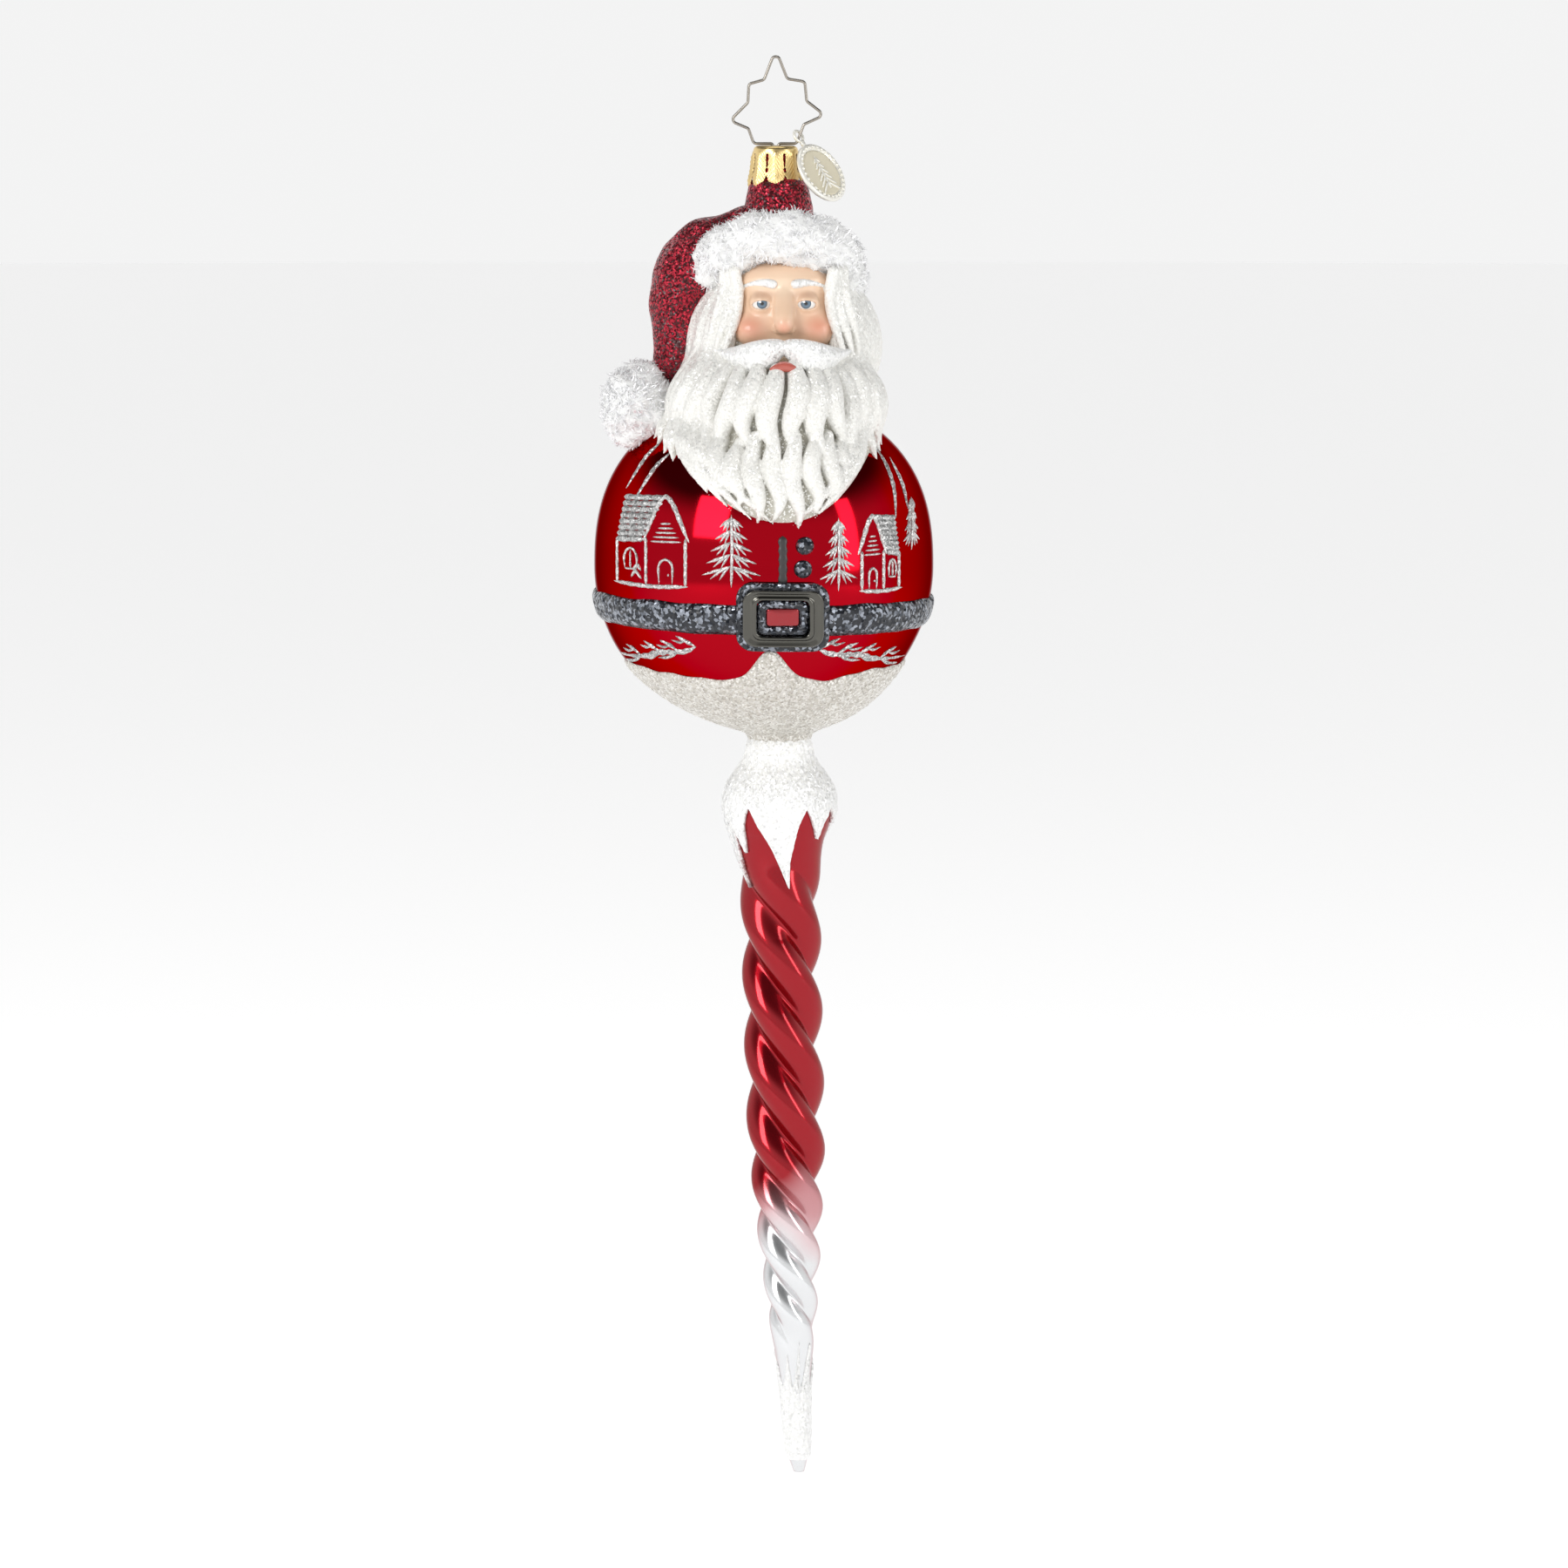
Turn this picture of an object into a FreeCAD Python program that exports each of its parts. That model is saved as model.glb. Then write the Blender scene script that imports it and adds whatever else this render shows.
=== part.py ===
# Hanging glass ornament: a bearded figure on a round body with a twisted icicle below it.
# Origin: the inside of the hanger's top point, where the hook carries the ornament.
# +Z is up, the figure faces -Y, millimetres.
import FreeCAD, Part
import math
import os
from FreeCAD import Vector

DOC = FreeCAD.newDocument("icicle_ornament")

# ---------------------------------------------------------------- driving sizes
SIZES = {
    # blown glass
    "glass_wall": 0.8,
    "ball_x": -2.6, "ball_z": -109.9, "ball_radius": 36.8,
    "neck_inner": 3.7, "neck_top_z": -19.9, "neck_top_outer": 4.2, "neck_foot_outer": 6.6,
    "neck_foot_z": -34.0,
    "head_x": 1.8, "head_y": -2.0, "head_z": -60.0,
    "lower_neck_x": 0.8, "lower_neck_outer": 6.3, "lip_outer": 7.3, "lip_foot_z": -148.0,
    "bulb_x": 0.8, "bulb_z": -161.5,
    # twisted icicle
    "twist_top_z": -168.0, "twist_foot_z": -276.0, "tip_z": -311.5,
    "groove_depth": 2.6, "lobes": 3, "ridge_pitch": 15.9, "tip_drift": 4.3,
    # coats and raised glitter lines
    "coat": 0.35, "snow_coat": 0.95, "line_height": 0.45, "line_width": 0.9,
    # belt and buckle
    "belt_mid_z": -118.9, "belt_height": 6.4, "belt_proud": 1.0, "belt_tilt": 1.0,
    "buckle_x": 1.5, "buckle_wide": 16.2, "buckle_high": 11.6, "buckle_bar": 2.6,
    "buckle_proud": 1.1, "buckle_border": 1.6,
    # buttons on the coat front
    "button_radius": 1.9,
    # hat
    "brim_ring": 15.0, "brim_thick": 5.7, "brim_z": -45.8, "brim_y": -3.0, "brim_lean": -31.0,
    "tail_x": -24.6, "tail_z": -68.5, "tail_long": 22.0, "tail_foot": 2.6, "tail_top": 5.2,
    "tail_lean": 8.0,
    "pompom_x": -28.4, "pompom_y": -2.0, "pompom_z": -75.4, "pompom_radius": 9.2,
    # crown cap
    "cap_top_z": -18.8, "cap_foot_z": -27.8, "cap_top_radius": 4.8, "cap_foot_radius": 5.95,
    "cap_sheet": 0.25, "cap_shoulder": 1.2, "cap_hole": 1.5, "petals": 8, "petal_notch": 2.6,
    # hanger wire
    "wire_radius": 0.32, "wire_bend": 0.9,
    # charm
    "charm_radius": 7.0, "charm_thick": 1.2, "eyelet_ring": 1.3, "eyelet_wire": 0.34,
    "charm_reach": 9.4,
}

SHEET = DOC.addObject("Spreadsheet::Sheet", "sizes")
for row, (name, value) in enumerate(SIZES.items(), start=1):
    SHEET.set(f"A{row}", name)
    SHEET.set(f"B{row}", str(value))
    SHEET.setAlias(f"B{row}", name)
DOC.recompute()


def size(name):
    return float(SHEET.get(name))


# ---------------------------------------------------------------- helpers
def bind(obj, **expressions):
    """Bind properties to sheet cells; a double underscore stands for a dot."""
    for prop, expression in expressions.items():
        obj.setExpression(prop.replace("__", "."), expression)
    return obj


def at(obj, x="0", y="0", z="0"):
    return bind(obj, Placement__Base__x=x, Placement__Base__y=y, Placement__Base__z=z)


def lean(obj, axis, degrees):
    """Turn an object about its own origin before its place is bound."""
    obj.Placement = FreeCAD.Placement(Vector(0, 0, 0), FreeCAD.Rotation(axis, degrees))
    return obj


def cone(name, foot_radius, top_radius, height, x="0", y="0", z="0"):
    obj = DOC.addObject("Part::Cone", name)
    bind(obj, Radius1=foot_radius, Radius2=top_radius, Height=height)
    return at(obj, x, y, z)


def cylinder(name, radius, height, x="0", y="0", z="0"):
    obj = DOC.addObject("Part::Cylinder", name)
    bind(obj, Radius=radius, Height=height)
    return at(obj, x, y, z)


def fuse(name, *members):
    obj = DOC.addObject("Part::MultiFuse", name)
    obj.Shapes = list(members)
    return obj


def common(name, *members):
    obj = DOC.addObject("Part::MultiCommon", name)
    obj.Shapes = list(members)
    return obj


def cut(name, base, tool):
    obj = DOC.addObject("Part::Cut", name)
    obj.Base = base
    obj.Tool = tool
    return obj


def feature(name, shape):
    obj = DOC.addObject("Part::Feature", name)
    obj.Shape = shape
    return obj


PARTS = {}


def sub_part(node, obj):
    """Name the finished sub-part: its label is its file name."""
    obj.Label = node
    PARTS[node] = obj
    return obj


# ---------------------------------------------------------------- blown glass figure
# Each row: name, radius, centre x, y, z from the head's own centre.
# Sizes are the outside of the glass; the inside is the same form less the wall.
HEAD_FORMS = [
    ("hair", 20.0, -0.8, 3.0, -3.0),
    ("face", 14.5, 0.0, -2.0, 4.5),
    ("beard_left", 15.5, -10.3, -7.0, -16.0),
    ("beard_right", 15.5, 7.9, -7.0, -16.0),
    ("beard_middle", 17.0, -1.0, -13.0, -19.0),
    ("beard_tip", 12.5, 0.0, -20.5, -27.0),
    ("crown", 13.5, -8.2, 4.0, 14.0),
    ("crown_side", 8.5, -18.0, 2.0, 10.5),
]


def ball(name, radius, x="0", y="0", z="0"):
    obj = DOC.addObject("Part::Sphere", name)
    bind(obj, Radius=radius)
    return at(obj, x, y, z)


def head_form(name, stage, grow="0"):
    radius, x, y, z = [row[1:] for row in HEAD_FORMS if row[0] == name][0]
    return ball(f"{name}_{stage}", f"{radius} + {grow}", f"sizes.head_x + {x}",
                f"sizes.head_y + {y}", f"sizes.head_z + {z}")


def head_solids(stage, grow="0"):
    return [head_form(row[0], stage, grow) for row in HEAD_FORMS]


def tail_form(name, grow="0"):
    """The hat's hanging tail: a cone that narrows towards the pompom."""
    obj = DOC.addObject("Part::Cone", name)
    lean(obj, Vector(0, 1, 0), size("tail_lean"))
    bind(obj, Radius1=f"sizes.tail_foot + {grow}", Radius2=f"sizes.tail_top + {grow}",
         Height="sizes.tail_long")
    return at(obj, "sizes.tail_x", "sizes.head_y + 2", "sizes.tail_z")


def ball_form(name, grow):
    return ball(name, f"sizes.ball_radius + {grow}", x="sizes.ball_x", z="sizes.ball_z")


def figure_outside(stage):
    neck = cone(f"neck_{stage}", "sizes.neck_foot_outer", "sizes.neck_top_outer",
                "sizes.neck_top_z - sizes.neck_foot_z", z="sizes.neck_foot_z")
    lip = cylinder(f"lip_{stage}", "sizes.lip_outer", "6", x="sizes.lower_neck_x",
                   z="sizes.lip_foot_z")
    return fuse(f"figure_{stage}", ball_form(f"ball_{stage}", "0"), neck, lip,
                tail_form(f"tail_{stage}"), *head_solids(stage))


def build_figure_glass():
    outside = figure_outside("outside")
    bore = cylinder("neck_bore", "sizes.neck_inner", "sizes.neck_top_z - sizes.head_z + 1",
                    z="sizes.head_z")
    lower_bore = cylinder("lower_bore", "sizes.lower_neck_outer - sizes.glass_wall", "20",
                          x="sizes.lower_neck_x", z="sizes.lip_foot_z - 8")
    inside = fuse("figure_inside", ball_form("ball_inside", "-sizes.glass_wall"), bore,
                  lower_bore, tail_form("tail_inside", "-sizes.glass_wall"),
                  *head_solids("inside", "-sizes.glass_wall"))
    return sub_part("figure_glass_shell", cut("figure_glass", outside, inside))


# ---------------------------------------------------------------- twisted icicle
def drift(z):
    """Sideways wander of the hand-drawn glass, growing towards the tip."""
    start, end = size("bulb_z"), size("tip_z")
    run = min(max((start - z) / (start - end), 0.0), 1.0)
    return size("bulb_x") + size("tip_drift") * run ** 1.5


# Height and outer radius of the icicle's round envelope, from the neck to the tip.
ENVELOPE = [(-148.0, 6.3), (-152.2, 6.7), (-155.5, 9.4), (-159.0, 11.3), (-162.5, 11.8),
            (-166.0, 11.2), (-170.0, 9.7), (-175.0, 8.7), (-236.0, 8.6), (-248.0, 7.8),
            (-262.0, 6.7), (-272.0, 5.0), (-278.0, 4.2), (-286.0, 3.6), (-294.0, 3.1),
            (-303.0, 2.7), (-309.0, 2.2), (-311.5, 0.9)]


def envelope(z):
    for (high, r_high), (low, r_low) in zip(ENVELOPE, ENVELOPE[1:]):
        if z >= low:
            return r_high + (r_low - r_high) * (high - z) / (high - low)
    return ENVELOPE[-1][1]


def ridge_angle(z):
    """Compass angle of one ridge; the ridges run down to the right and tighten below."""
    down = size("twist_top_z") - z
    tighten = 0.0026 * max(0.0, down - 68.0) ** 1.6
    return math.radians(28.0 + 120.0 * (down / size("ridge_pitch") + tighten))


def surface_point(z, angle, grow):
    """Point of the icicle's surface: round at bulb and point, three-lobed between."""
    top, foot = size("twist_top_z"), size("twist_foot_z")
    run = min(max((top - z) / (top - foot), 0.0), 1.0)
    fade = min(1.0, 5.0 * run, 6.0 * (1.0 - run))
    depth = size("groove_depth") * fade * envelope(z) / envelope(-200.0)
    wave = 0.5 - 0.5 * math.cos(size("lobes") * (angle - ridge_angle(z)))
    radius = envelope(z) + grow - depth * wave
    return Vector(drift(z) + radius * math.sin(angle), -radius * math.cos(angle), z)


def fitted(points):
    surface = Part.BSplineSurface()
    surface.interpolate(points)
    return surface


def joined(faces):
    """One closed solid from faces that meet at their edges."""
    shell = Part.makeCompound(faces)
    shell.sewShape(0.01)
    solid = Part.Solid(shell.Shells[0])
    if solid.Volume < 0:
        solid.reverse()
    return solid


SECTORS = 3


def sectors(top, foot, grow, step=2.6, around_count=36):
    """The icicle's surface between two heights, in sectors that meet edge to edge."""
    count = max(3, round((top - foot) / step))
    rows = []
    for k in range(count + 1):
        z = top + (foot - top) * k / count
        row = [surface_point(z, 2 * math.pi * n / around_count, grow)
               for n in range(around_count)]
        rows.append(row + row[:1])
    whole = fitted(rows)
    u0, u1, v0, v1 = whole.bounds()
    parts = []
    for k in range(SECTORS):
        part = whole.copy()
        part.segment(u0, u1, v0 + (v1 - v0) * k / SECTORS, v0 + (v1 - v0) * (k + 1) / SECTORS)
        parts.append(part)
    return parts


def end_edge(surface, last):
    low, high = surface.bounds()[0:2]
    return surface.uIso(high if last else low).toShape()


def sleeve(top, foot, low_grow, high_grow):
    """Closed ring solid that wraps the icicle between two heights."""
    faces = []
    for inner, outer in zip(sectors(top, foot, low_grow), sectors(top, foot, high_grow)):
        faces += [inner.toShape(), outer.toShape()]
        faces += [Part.makeRuledSurface(end_edge(inner, last), end_edge(outer, last))
                  for last in (False, True)]
    return joined(faces)


def tapered_patch(angle, half_width, top, foot, low_grow, high_grow, point_width=0.12):
    """A drip or finger: a curved patch on the icicle that narrows to a blunt point."""
    rows_per_face, across = 10, 6
    mid = math.radians(angle)

    def grid(grow):
        rows = []
        for k in range(rows_per_face + 1):
            run = k / rows_per_face
            z = top + (foot - top) * run
            half = half_width * (1 - run ** 1.4) + point_width
            swing = half / envelope(z)
            rows.append([surface_point(z, mid + swing * (2 * n / across - 1), grow)
                         for n in range(across + 1)])
        return fitted(rows)

    inner, outer = grid(low_grow), grid(high_grow)
    u0, u1, v0, v1 = inner.bounds()
    sides = [Part.makeRuledSurface(inner.uIso(u).toShape(), outer.uIso(u).toShape())
             for u in (u0, u1)]
    sides += [Part.makeRuledSurface(inner.vIso(v).toShape(), outer.vIso(v).toShape())
              for v in (v0, v1)]
    return joined([inner.toShape(), outer.toShape()] + sides)


def build_icicle_glass():
    """Hollow drop: outer skin, inner skin, a ring at the neck and a closed tip."""
    top, tip = ENVELOPE[0][0], ENVELOPE[-1][0]
    outer = sectors(top, tip, 0.0)
    inner = sectors(top, tip + 8.0, -size("glass_wall"))
    faces = [surface.toShape() for surface in outer + inner]
    faces += [Part.makeRuledSurface(end_edge(low, False), end_edge(high, False))
              for low, high in zip(inner, outer)]
    faces += [Part.Face(Part.Wire([end_edge(surface, True) for surface in skin]))
              for skin in (outer, inner)]
    return sub_part("icicle_glass_shell", feature("icicle_glass", joined(faces)))


# ---------------------------------------------------------------- coats on the icicle
COAT_GAP, SNOW_GAP = 0.05, 0.35
SNOW_TOP, SNOW_FOOT = -152.0, -169.0
# Drips of the snow coat: compass angle from the front (degrees), half width, foot height.
DRIPS = [(8, 4.6, -186.5), (-62, 3.2, -179.0), (62, 3.4, -174.5), (118, 4.4, -184.0),
         (178, 4.8, -180.0), (-122, 3.8, -186.0)]
# The frost at the tip: a sleeve with fingers that reach up the clear glass.
FROST_TOP, FROST_FOOT, FROST_FINGERS, FINGER_REACH = -292.0, -307.5, 6, 8.0


def build_snow_coat():
    coat = size("snow_coat")
    solids = [sleeve(SNOW_TOP, SNOW_FOOT, SNOW_GAP, coat)]
    for angle, half_width, foot in DRIPS:
        solids.append(tapered_patch(angle, half_width, SNOW_FOOT, foot, SNOW_GAP, coat))
    return sub_part("snow_cap_coat", feature("snow_coat_form", Part.makeCompound(solids)))


def build_tip_frost():
    coat = size("coat")
    solids = [sleeve(FROST_TOP, FROST_FOOT, COAT_GAP, coat)]
    for k in range(FROST_FINGERS):
        reach = FINGER_REACH + 1.5 * (k % 2)
        solids.append(tapered_patch(360.0 * k / FROST_FINGERS + 10.0, 1.1, FROST_TOP,
                                    FROST_TOP + reach, COAT_GAP, coat))
    return sub_part("tip_frost_coat", feature("tip_frost_form", Part.makeCompound(solids)))


# ---------------------------------------------------------------- coats on the figure
def build_hat_parts(figure):
    brim = DOC.addObject("Part::Torus", "brim_ring")
    lean(brim, Vector(1, 0, 0), size("brim_lean"))
    bind(brim, Radius1="sizes.brim_ring", Radius2="sizes.brim_thick")
    at(brim, "sizes.head_x - 1.2", "sizes.brim_y", "sizes.brim_z")
    sub_part("hat_brim_flock", cut("brim_flock", brim, figure))

    pompom = DOC.addObject("Part::Sphere", "pompom_ball")
    bind(pompom, Radius="sizes.pompom_radius")
    at(pompom, "sizes.pompom_x", "sizes.pompom_y", "sizes.pompom_z")
    sub_part("pompom_flock", cut("pompom_form", pompom, figure))

    hat = fuse("hat_form", head_form("crown", "coat", "sizes.coat"),
               head_form("crown_side", "coat", "sizes.coat"),
               tail_form("tail_coat", "sizes.coat"))
    hat_free = cut("hat_less_glass", hat, figure)
    hat_free = cut("hat_less_brim", hat_free, brim)
    sub_part("hat_glitter_coat", cut("hat_less_pompom", hat_free, pompom))

    collar = cone("collar_form", "sizes.neck_foot_outer + sizes.coat - 0.25",
                  "sizes.neck_top_outer + sizes.coat + 0.35", "7.4", z="-32.0")
    collar_free = cut("collar_less_glass", collar, figure)
    collar_free = cut("collar_less_brim", collar_free, brim)
    sub_part("neck_glitter_collar", cut("collar_less_hat", collar_free, hat))


def build_moustache(figure):
    """Two glittered tufts that meet under the nose and droop at the ends."""
    tufts = []
    for side in (-1, 1):
        for k, (reach, drop, radius) in enumerate(((2.8, 0.0, 3.0), (6.4, 1.0, 2.6),
                                                   (9.6, 2.8, 1.9))):
            tufts.append(ball(f"tuft_{'lr'[side > 0]}{k}", str(radius),
                              f"sizes.head_x + {reach * side}",
                              f"sizes.head_y - {21.2 - 0.16 * reach ** 1.4:.2f}",
                              f"sizes.head_z - {2.6 + drop}"))
    both = fuse("moustache_form", *tufts)
    sub_part("moustache_glitter", cut("moustache_cut", both, figure))


def build_belt(figure):
    band = cut("belt_band", ball_form("belt_outer", "sizes.belt_proud"), figure)
    slab = DOC.addObject("Part::Cylinder", "belt_slab")
    lean(slab, Vector(0, 1, 0), size("belt_tilt"))
    bind(slab, Radius="60", Height="sizes.belt_height")
    at(slab, "sizes.ball_x", "0", "sizes.belt_mid_z - sizes.belt_height / 2")
    sub_part("belt_glitter_band", common("belt_form", band, slab))


def front_block(name, wide, high, mid_x, mid_z):
    """A block in front of the ball, used to cut plates out of a curved layer."""
    block = DOC.addObject("Part::Box", name)
    bind(block, Length=wide, Width="60", Height=high)
    return at(block, f"{mid_x} - ({wide}) / 2", "-60", f"{mid_z} - ({high}) / 2")


def curved_plate(name, block, inner, outer):
    layer = cut(f"{name}_layer", ball_form(f"{name}_outer", outer),
                ball_form(f"{name}_inner", inner))
    return common(name, layer, block)


def build_buckle():
    mid = ("sizes.buckle_x", "sizes.belt_mid_z")
    wide, high = "sizes.buckle_wide", "sizes.buckle_high"
    bar = "2 * sizes.buckle_bar"
    border = "2 * sizes.buckle_border"
    floor = "sizes.belt_proud"
    full = front_block("buckle_block", wide, high, *mid)
    hole = front_block("buckle_hole", f"{wide} - {bar}", f"{high} - {bar}", *mid)
    frame = cut("buckle_frame_block", full, hole)
    plate = curved_plate("buckle_plate", frame, floor, f"{floor} + sizes.buckle_proud")
    sub_part("buckle_frame", plate)

    outer = front_block("border_block", f"{wide} + {border}", f"{high} + {border}", *mid)
    full_copy = front_block("border_hole", wide, high, *mid)
    ring = cut("border_ring", outer, full_copy)
    border_plate = curved_plate("border_plate", ring, floor, f"{floor} + sizes.coat")
    sub_part("buckle_glitter_border", border_plate)

    inlay_out = front_block("inlay_block", f"{wide} - {bar} - 0.6", f"{high} - {bar} - 0.6",
                            *mid)
    inlay_in = front_block("inlay_hole", f"{wide} - {bar} - 3.6", f"{high} - {bar} - 3.2",
                           *mid)
    inlay = cut("inlay_ring", inlay_out, inlay_in)
    sub_part("buckle_glitter_inlay",
             curved_plate("inlay_plate", inlay, floor, f"{floor} + sizes.coat"))


def ball_front_y(x, z):
    """Depth of the ball's front surface under a point of the front view."""
    side, rise = x - size("ball_x"), z - size("ball_z")
    return -math.sqrt(max(0.0, size("ball_radius") ** 2 - side ** 2 - rise ** 2))


def build_buttons(ball):
    """Two glitter dots on the coat's front edge."""
    dots = []
    for k, (x, z) in enumerate(((6.2, -103.0), (5.8, -107.9))):
        dot = Part.makeSphere(size("button_radius"), Vector(x, ball_front_y(x, z) + 0.9, z))
        dots.append(dot.cut(ball))
    return sub_part("jacket_buttons", feature("button_dots", Part.makeCompound(dots)))


def build_hem(figure):
    """Frosted underside: its upper edge waves and peaks at the front middle."""
    edge = [(-45, -131.5), (-31, -130.8), (-24, -132.6), (-15, -132.2), (-9, -131.0),
            (-4, -128.4), (0.2, -126.2), (3.5, -128.4), (7, -131.4), (14, -132.6),
            (22, -132.4), (27, -131.0), (40, -131.5)]
    outline = [Vector(x, -60, z) for x, z in edge]
    outline += [Vector(40, -60, -150), Vector(-45, -60, -150), outline[0]]
    prism = Part.Face(Part.makePolygon(outline)).extrude(Vector(0, 120, 0))
    region = feature("hem_region", prism)
    layer = cut("hem_layer", ball_form("hem_outer", "sizes.coat"), figure)
    sub_part("hem_snow_coat", common("hem_form", layer, region))


# ---------------------------------------------------------------- raised glitter lines
def house_lines(x, z, wide, high, roof_side):
    """Gable house in the front plane: walls, roof slope, door and window."""
    half = wide / 2
    gable_x = x + roof_side * half * 0.35
    eave = z + high * 0.55
    walls = [[(x - half, eave), (x - half, z), (x + half, z), (x + half, eave)]]
    roof = [[(x - half, eave), (gable_x, z + high), (x + half, eave), (x - half, eave)]]
    door = [[(x + half * 0.15, z), (x + half * 0.15, z + high * 0.4),
             (x + half * 0.6, z + high * 0.4), (x + half * 0.6, z)]]
    window = [[(x - half * 0.6, z + high * 0.15), (x - half * 0.6, z + high * 0.42),
               (x - half * 0.2, z + high * 0.42), (x - half * 0.2, z + high * 0.15)]]
    return walls + roof + door + window


def fir_lines(x, z, wide, high, tiers):
    """Fir tree: a zigzag outline that widens tier by tier."""
    left, right = [], []
    for k in range(tiers):
        low = z + high * (1 - (k + 1) / tiers)
        reach = wide / 2 * (k + 1) / tiers
        left.append((x - reach, low))
        right.append((x + reach, low))
        if k < tiers - 1:
            left.append((x - reach * 0.45, low + high * 0.02))
            right.append((x + reach * 0.45, low + high * 0.02))
    top = (x, z + high)
    return [[top] + left + right[::-1] + [top]]


def branch_lines(x, z, reach, side):
    """Bare branch: a wavy stem with two side twigs."""
    stem = [(x, z), (x + side * reach * 0.3, z - 1.2), (x + side * reach * 0.62, z - 0.4),
            (x + side * reach, z + 0.4)]
    upper = [(x + side * reach * 0.3, z - 1.0), (x + side * reach * 0.5, z + 2.6)]
    lower = [(x + side * reach * 0.35, z - 1.4), (x + side * reach * 0.62, z - 2.6)]
    return [stem, upper, lower]


def raised_lines(polylines, layer):
    """Bars over each straight run, kept only where they lie in the layer on the ball."""
    half = size("line_width") / 2
    solids = []
    for line in polylines:
        for (x0, z0), (x1, z1) in zip(line, line[1:]):
            length = math.hypot(x1 - x0, z1 - z0)
            along = ((x1 - x0) / length, (z1 - z0) / length)
            across = (-along[1] * half, along[0] * half)
            trim = half * 0.9
            ax, az = x0 + along[0] * trim, z0 + along[1] * trim
            bx, bz = x1 - along[0] * trim, z1 - along[1] * trim
            corners = [(ax - across[0], az - across[1]), (bx - across[0], bz - across[1]),
                       (bx + across[0], bz + across[1]), (ax + across[0], az + across[1])]
            outline = [Vector(px, -60, pz) for px, pz in corners]
            bar = Part.Face(Part.makePolygon(outline + outline[:1])).extrude(Vector(0, 58, 0))
            solids += [s for s in bar.common(layer).Solids if s.Volume > 0.05]
    return Part.makeCompound(solids)


def build_lines(ball, line_form):
    layer = line_form.cut(ball)
    houses = (house_lines(-27.4, -111.5, 14.5, 17.5, 1)
              + house_lines(22.9, -113.0, 8.0, 15.5, -1))
    trees = (fir_lines(-9.4, -111.0, 13.0, 14.5, 4) + fir_lines(13.8, -112.0, 7.4, 14.5, 4)
             + fir_lines(29.6, -105.0, 3.0, 9.5, 3))
    branches = (branch_lines(-31.0, -127.0, 17.0, 1) + branch_lines(26.5, -127.0, 18.0, -1))
    sleeves = [[(-32.2, -92.0), (-28.0, -85.5), (-24.6, -82.0)],
               [(23.8, -82.0), (26.0, -87.0), (27.0, -91.0)]]
    for node, lines in (("house_glitter_lines", houses), ("tree_glitter_lines", trees),
                        ("branch_glitter_lines", branches), ("sleeve_glitter_lines", sleeves)):
        sub_part(node, feature(f"{node}_form", raised_lines(lines, layer)))
    strip = [[(1.4, -100.6), (1.4, -112.2)]]
    sub_part("placket_glitter_strip", feature("placket_form", raised_lines(strip, layer)))


# ---------------------------------------------------------------- crown cap
def origin_plane(body, role):
    return [o for o in body.Origin.OriginFeatures if o.Role == role][0]


def build_cap():
    """Pressed gold sheet: a domed cup with eight pointed petals parted by slits."""
    body = DOC.addObject("PartDesign::Body", "crown_cap_body")
    top, foot = size("cap_top_z"), size("cap_foot_z")
    top_r, foot_r = size("cap_top_radius"), size("cap_foot_radius")
    sheet, shoulder, hole = size("cap_sheet"), size("cap_shoulder"), size("cap_hole")
    profile = body.newObject("Sketcher::SketchObject", "cap_profile")
    profile.AttachmentSupport = (origin_plane(body, "XZ_Plane"), [""])
    profile.MapMode = "FlatFace"
    outline = [(hole, top), (top_r - shoulder, top), (top_r - shoulder * 0.3, top - 0.35),
               (top_r, top - shoulder), (foot_r, foot), (foot_r - sheet, foot),
               (top_r - sheet, top - shoulder), (top_r - shoulder * 0.4, top - 0.55),
               (top_r - shoulder, top - sheet), (hole, top - sheet)]
    for (x0, z0), (x1, z1) in zip(outline, outline[1:] + outline[:1]):
        profile.addGeometry(Part.LineSegment(Vector(x0, z0, 0), Vector(x1, z1, 0)), False)
    DOC.recompute()
    turned = body.newObject("PartDesign::Revolution", "cap_cup")
    turned.Profile = profile
    turned.ReferenceAxis = (profile, ["V_Axis"])
    turned.Angle = 360.0
    DOC.recompute()
    full_volume = turned.Shape.Volume

    slit = body.newObject("Sketcher::SketchObject", "cap_slit")
    slit.AttachmentSupport = (origin_plane(body, "XZ_Plane"), [""])
    slit.MapMode = "FlatFace"
    notch = size("petal_notch")
    half_petal = math.pi * foot_r / size("petals")
    notch_top = foot + notch
    edge = [(-0.12, top - 2.0), (0.12, top - 2.0), (0.42, top - 3.6), (0.2, top - 4.6),
            (0.72, top - 5.6), (0.2, notch_top), (half_petal, foot - 0.1),
            (-half_petal, foot - 0.1), (-0.2, notch_top), (-0.72, top - 5.6),
            (-0.2, top - 4.6), (-0.42, top - 3.6)]
    for (x0, z0), (x1, z1) in zip(edge, edge[1:] + edge[:1]):
        slit.addGeometry(Part.LineSegment(Vector(x0, z0, 0), Vector(x1, z1, 0)), False)
    DOC.recompute()
    opened = body.newObject("PartDesign::Pocket", "cap_slit_cut")
    opened.Profile = slit
    opened.Length = 9.0
    opened.Reversed = True
    DOC.recompute()
    if opened.Shape.Volume >= full_volume - 0.1:
        opened.Reversed = False
        DOC.recompute()
    assert opened.Shape.Volume < full_volume - 0.1, "the cap's slit removes nothing"
    slit.Visibility = False
    ring = body.newObject("PartDesign::PolarPattern", "cap_slits")
    ring.Originals = [opened]
    ring.Axis = (profile, ["V_Axis"])
    ring.Angle = 360.0
    bind(ring, Occurrences="sizes.petals")
    body.Tip = ring
    DOC.recompute()
    sub_part("crown_cap", body)


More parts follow.
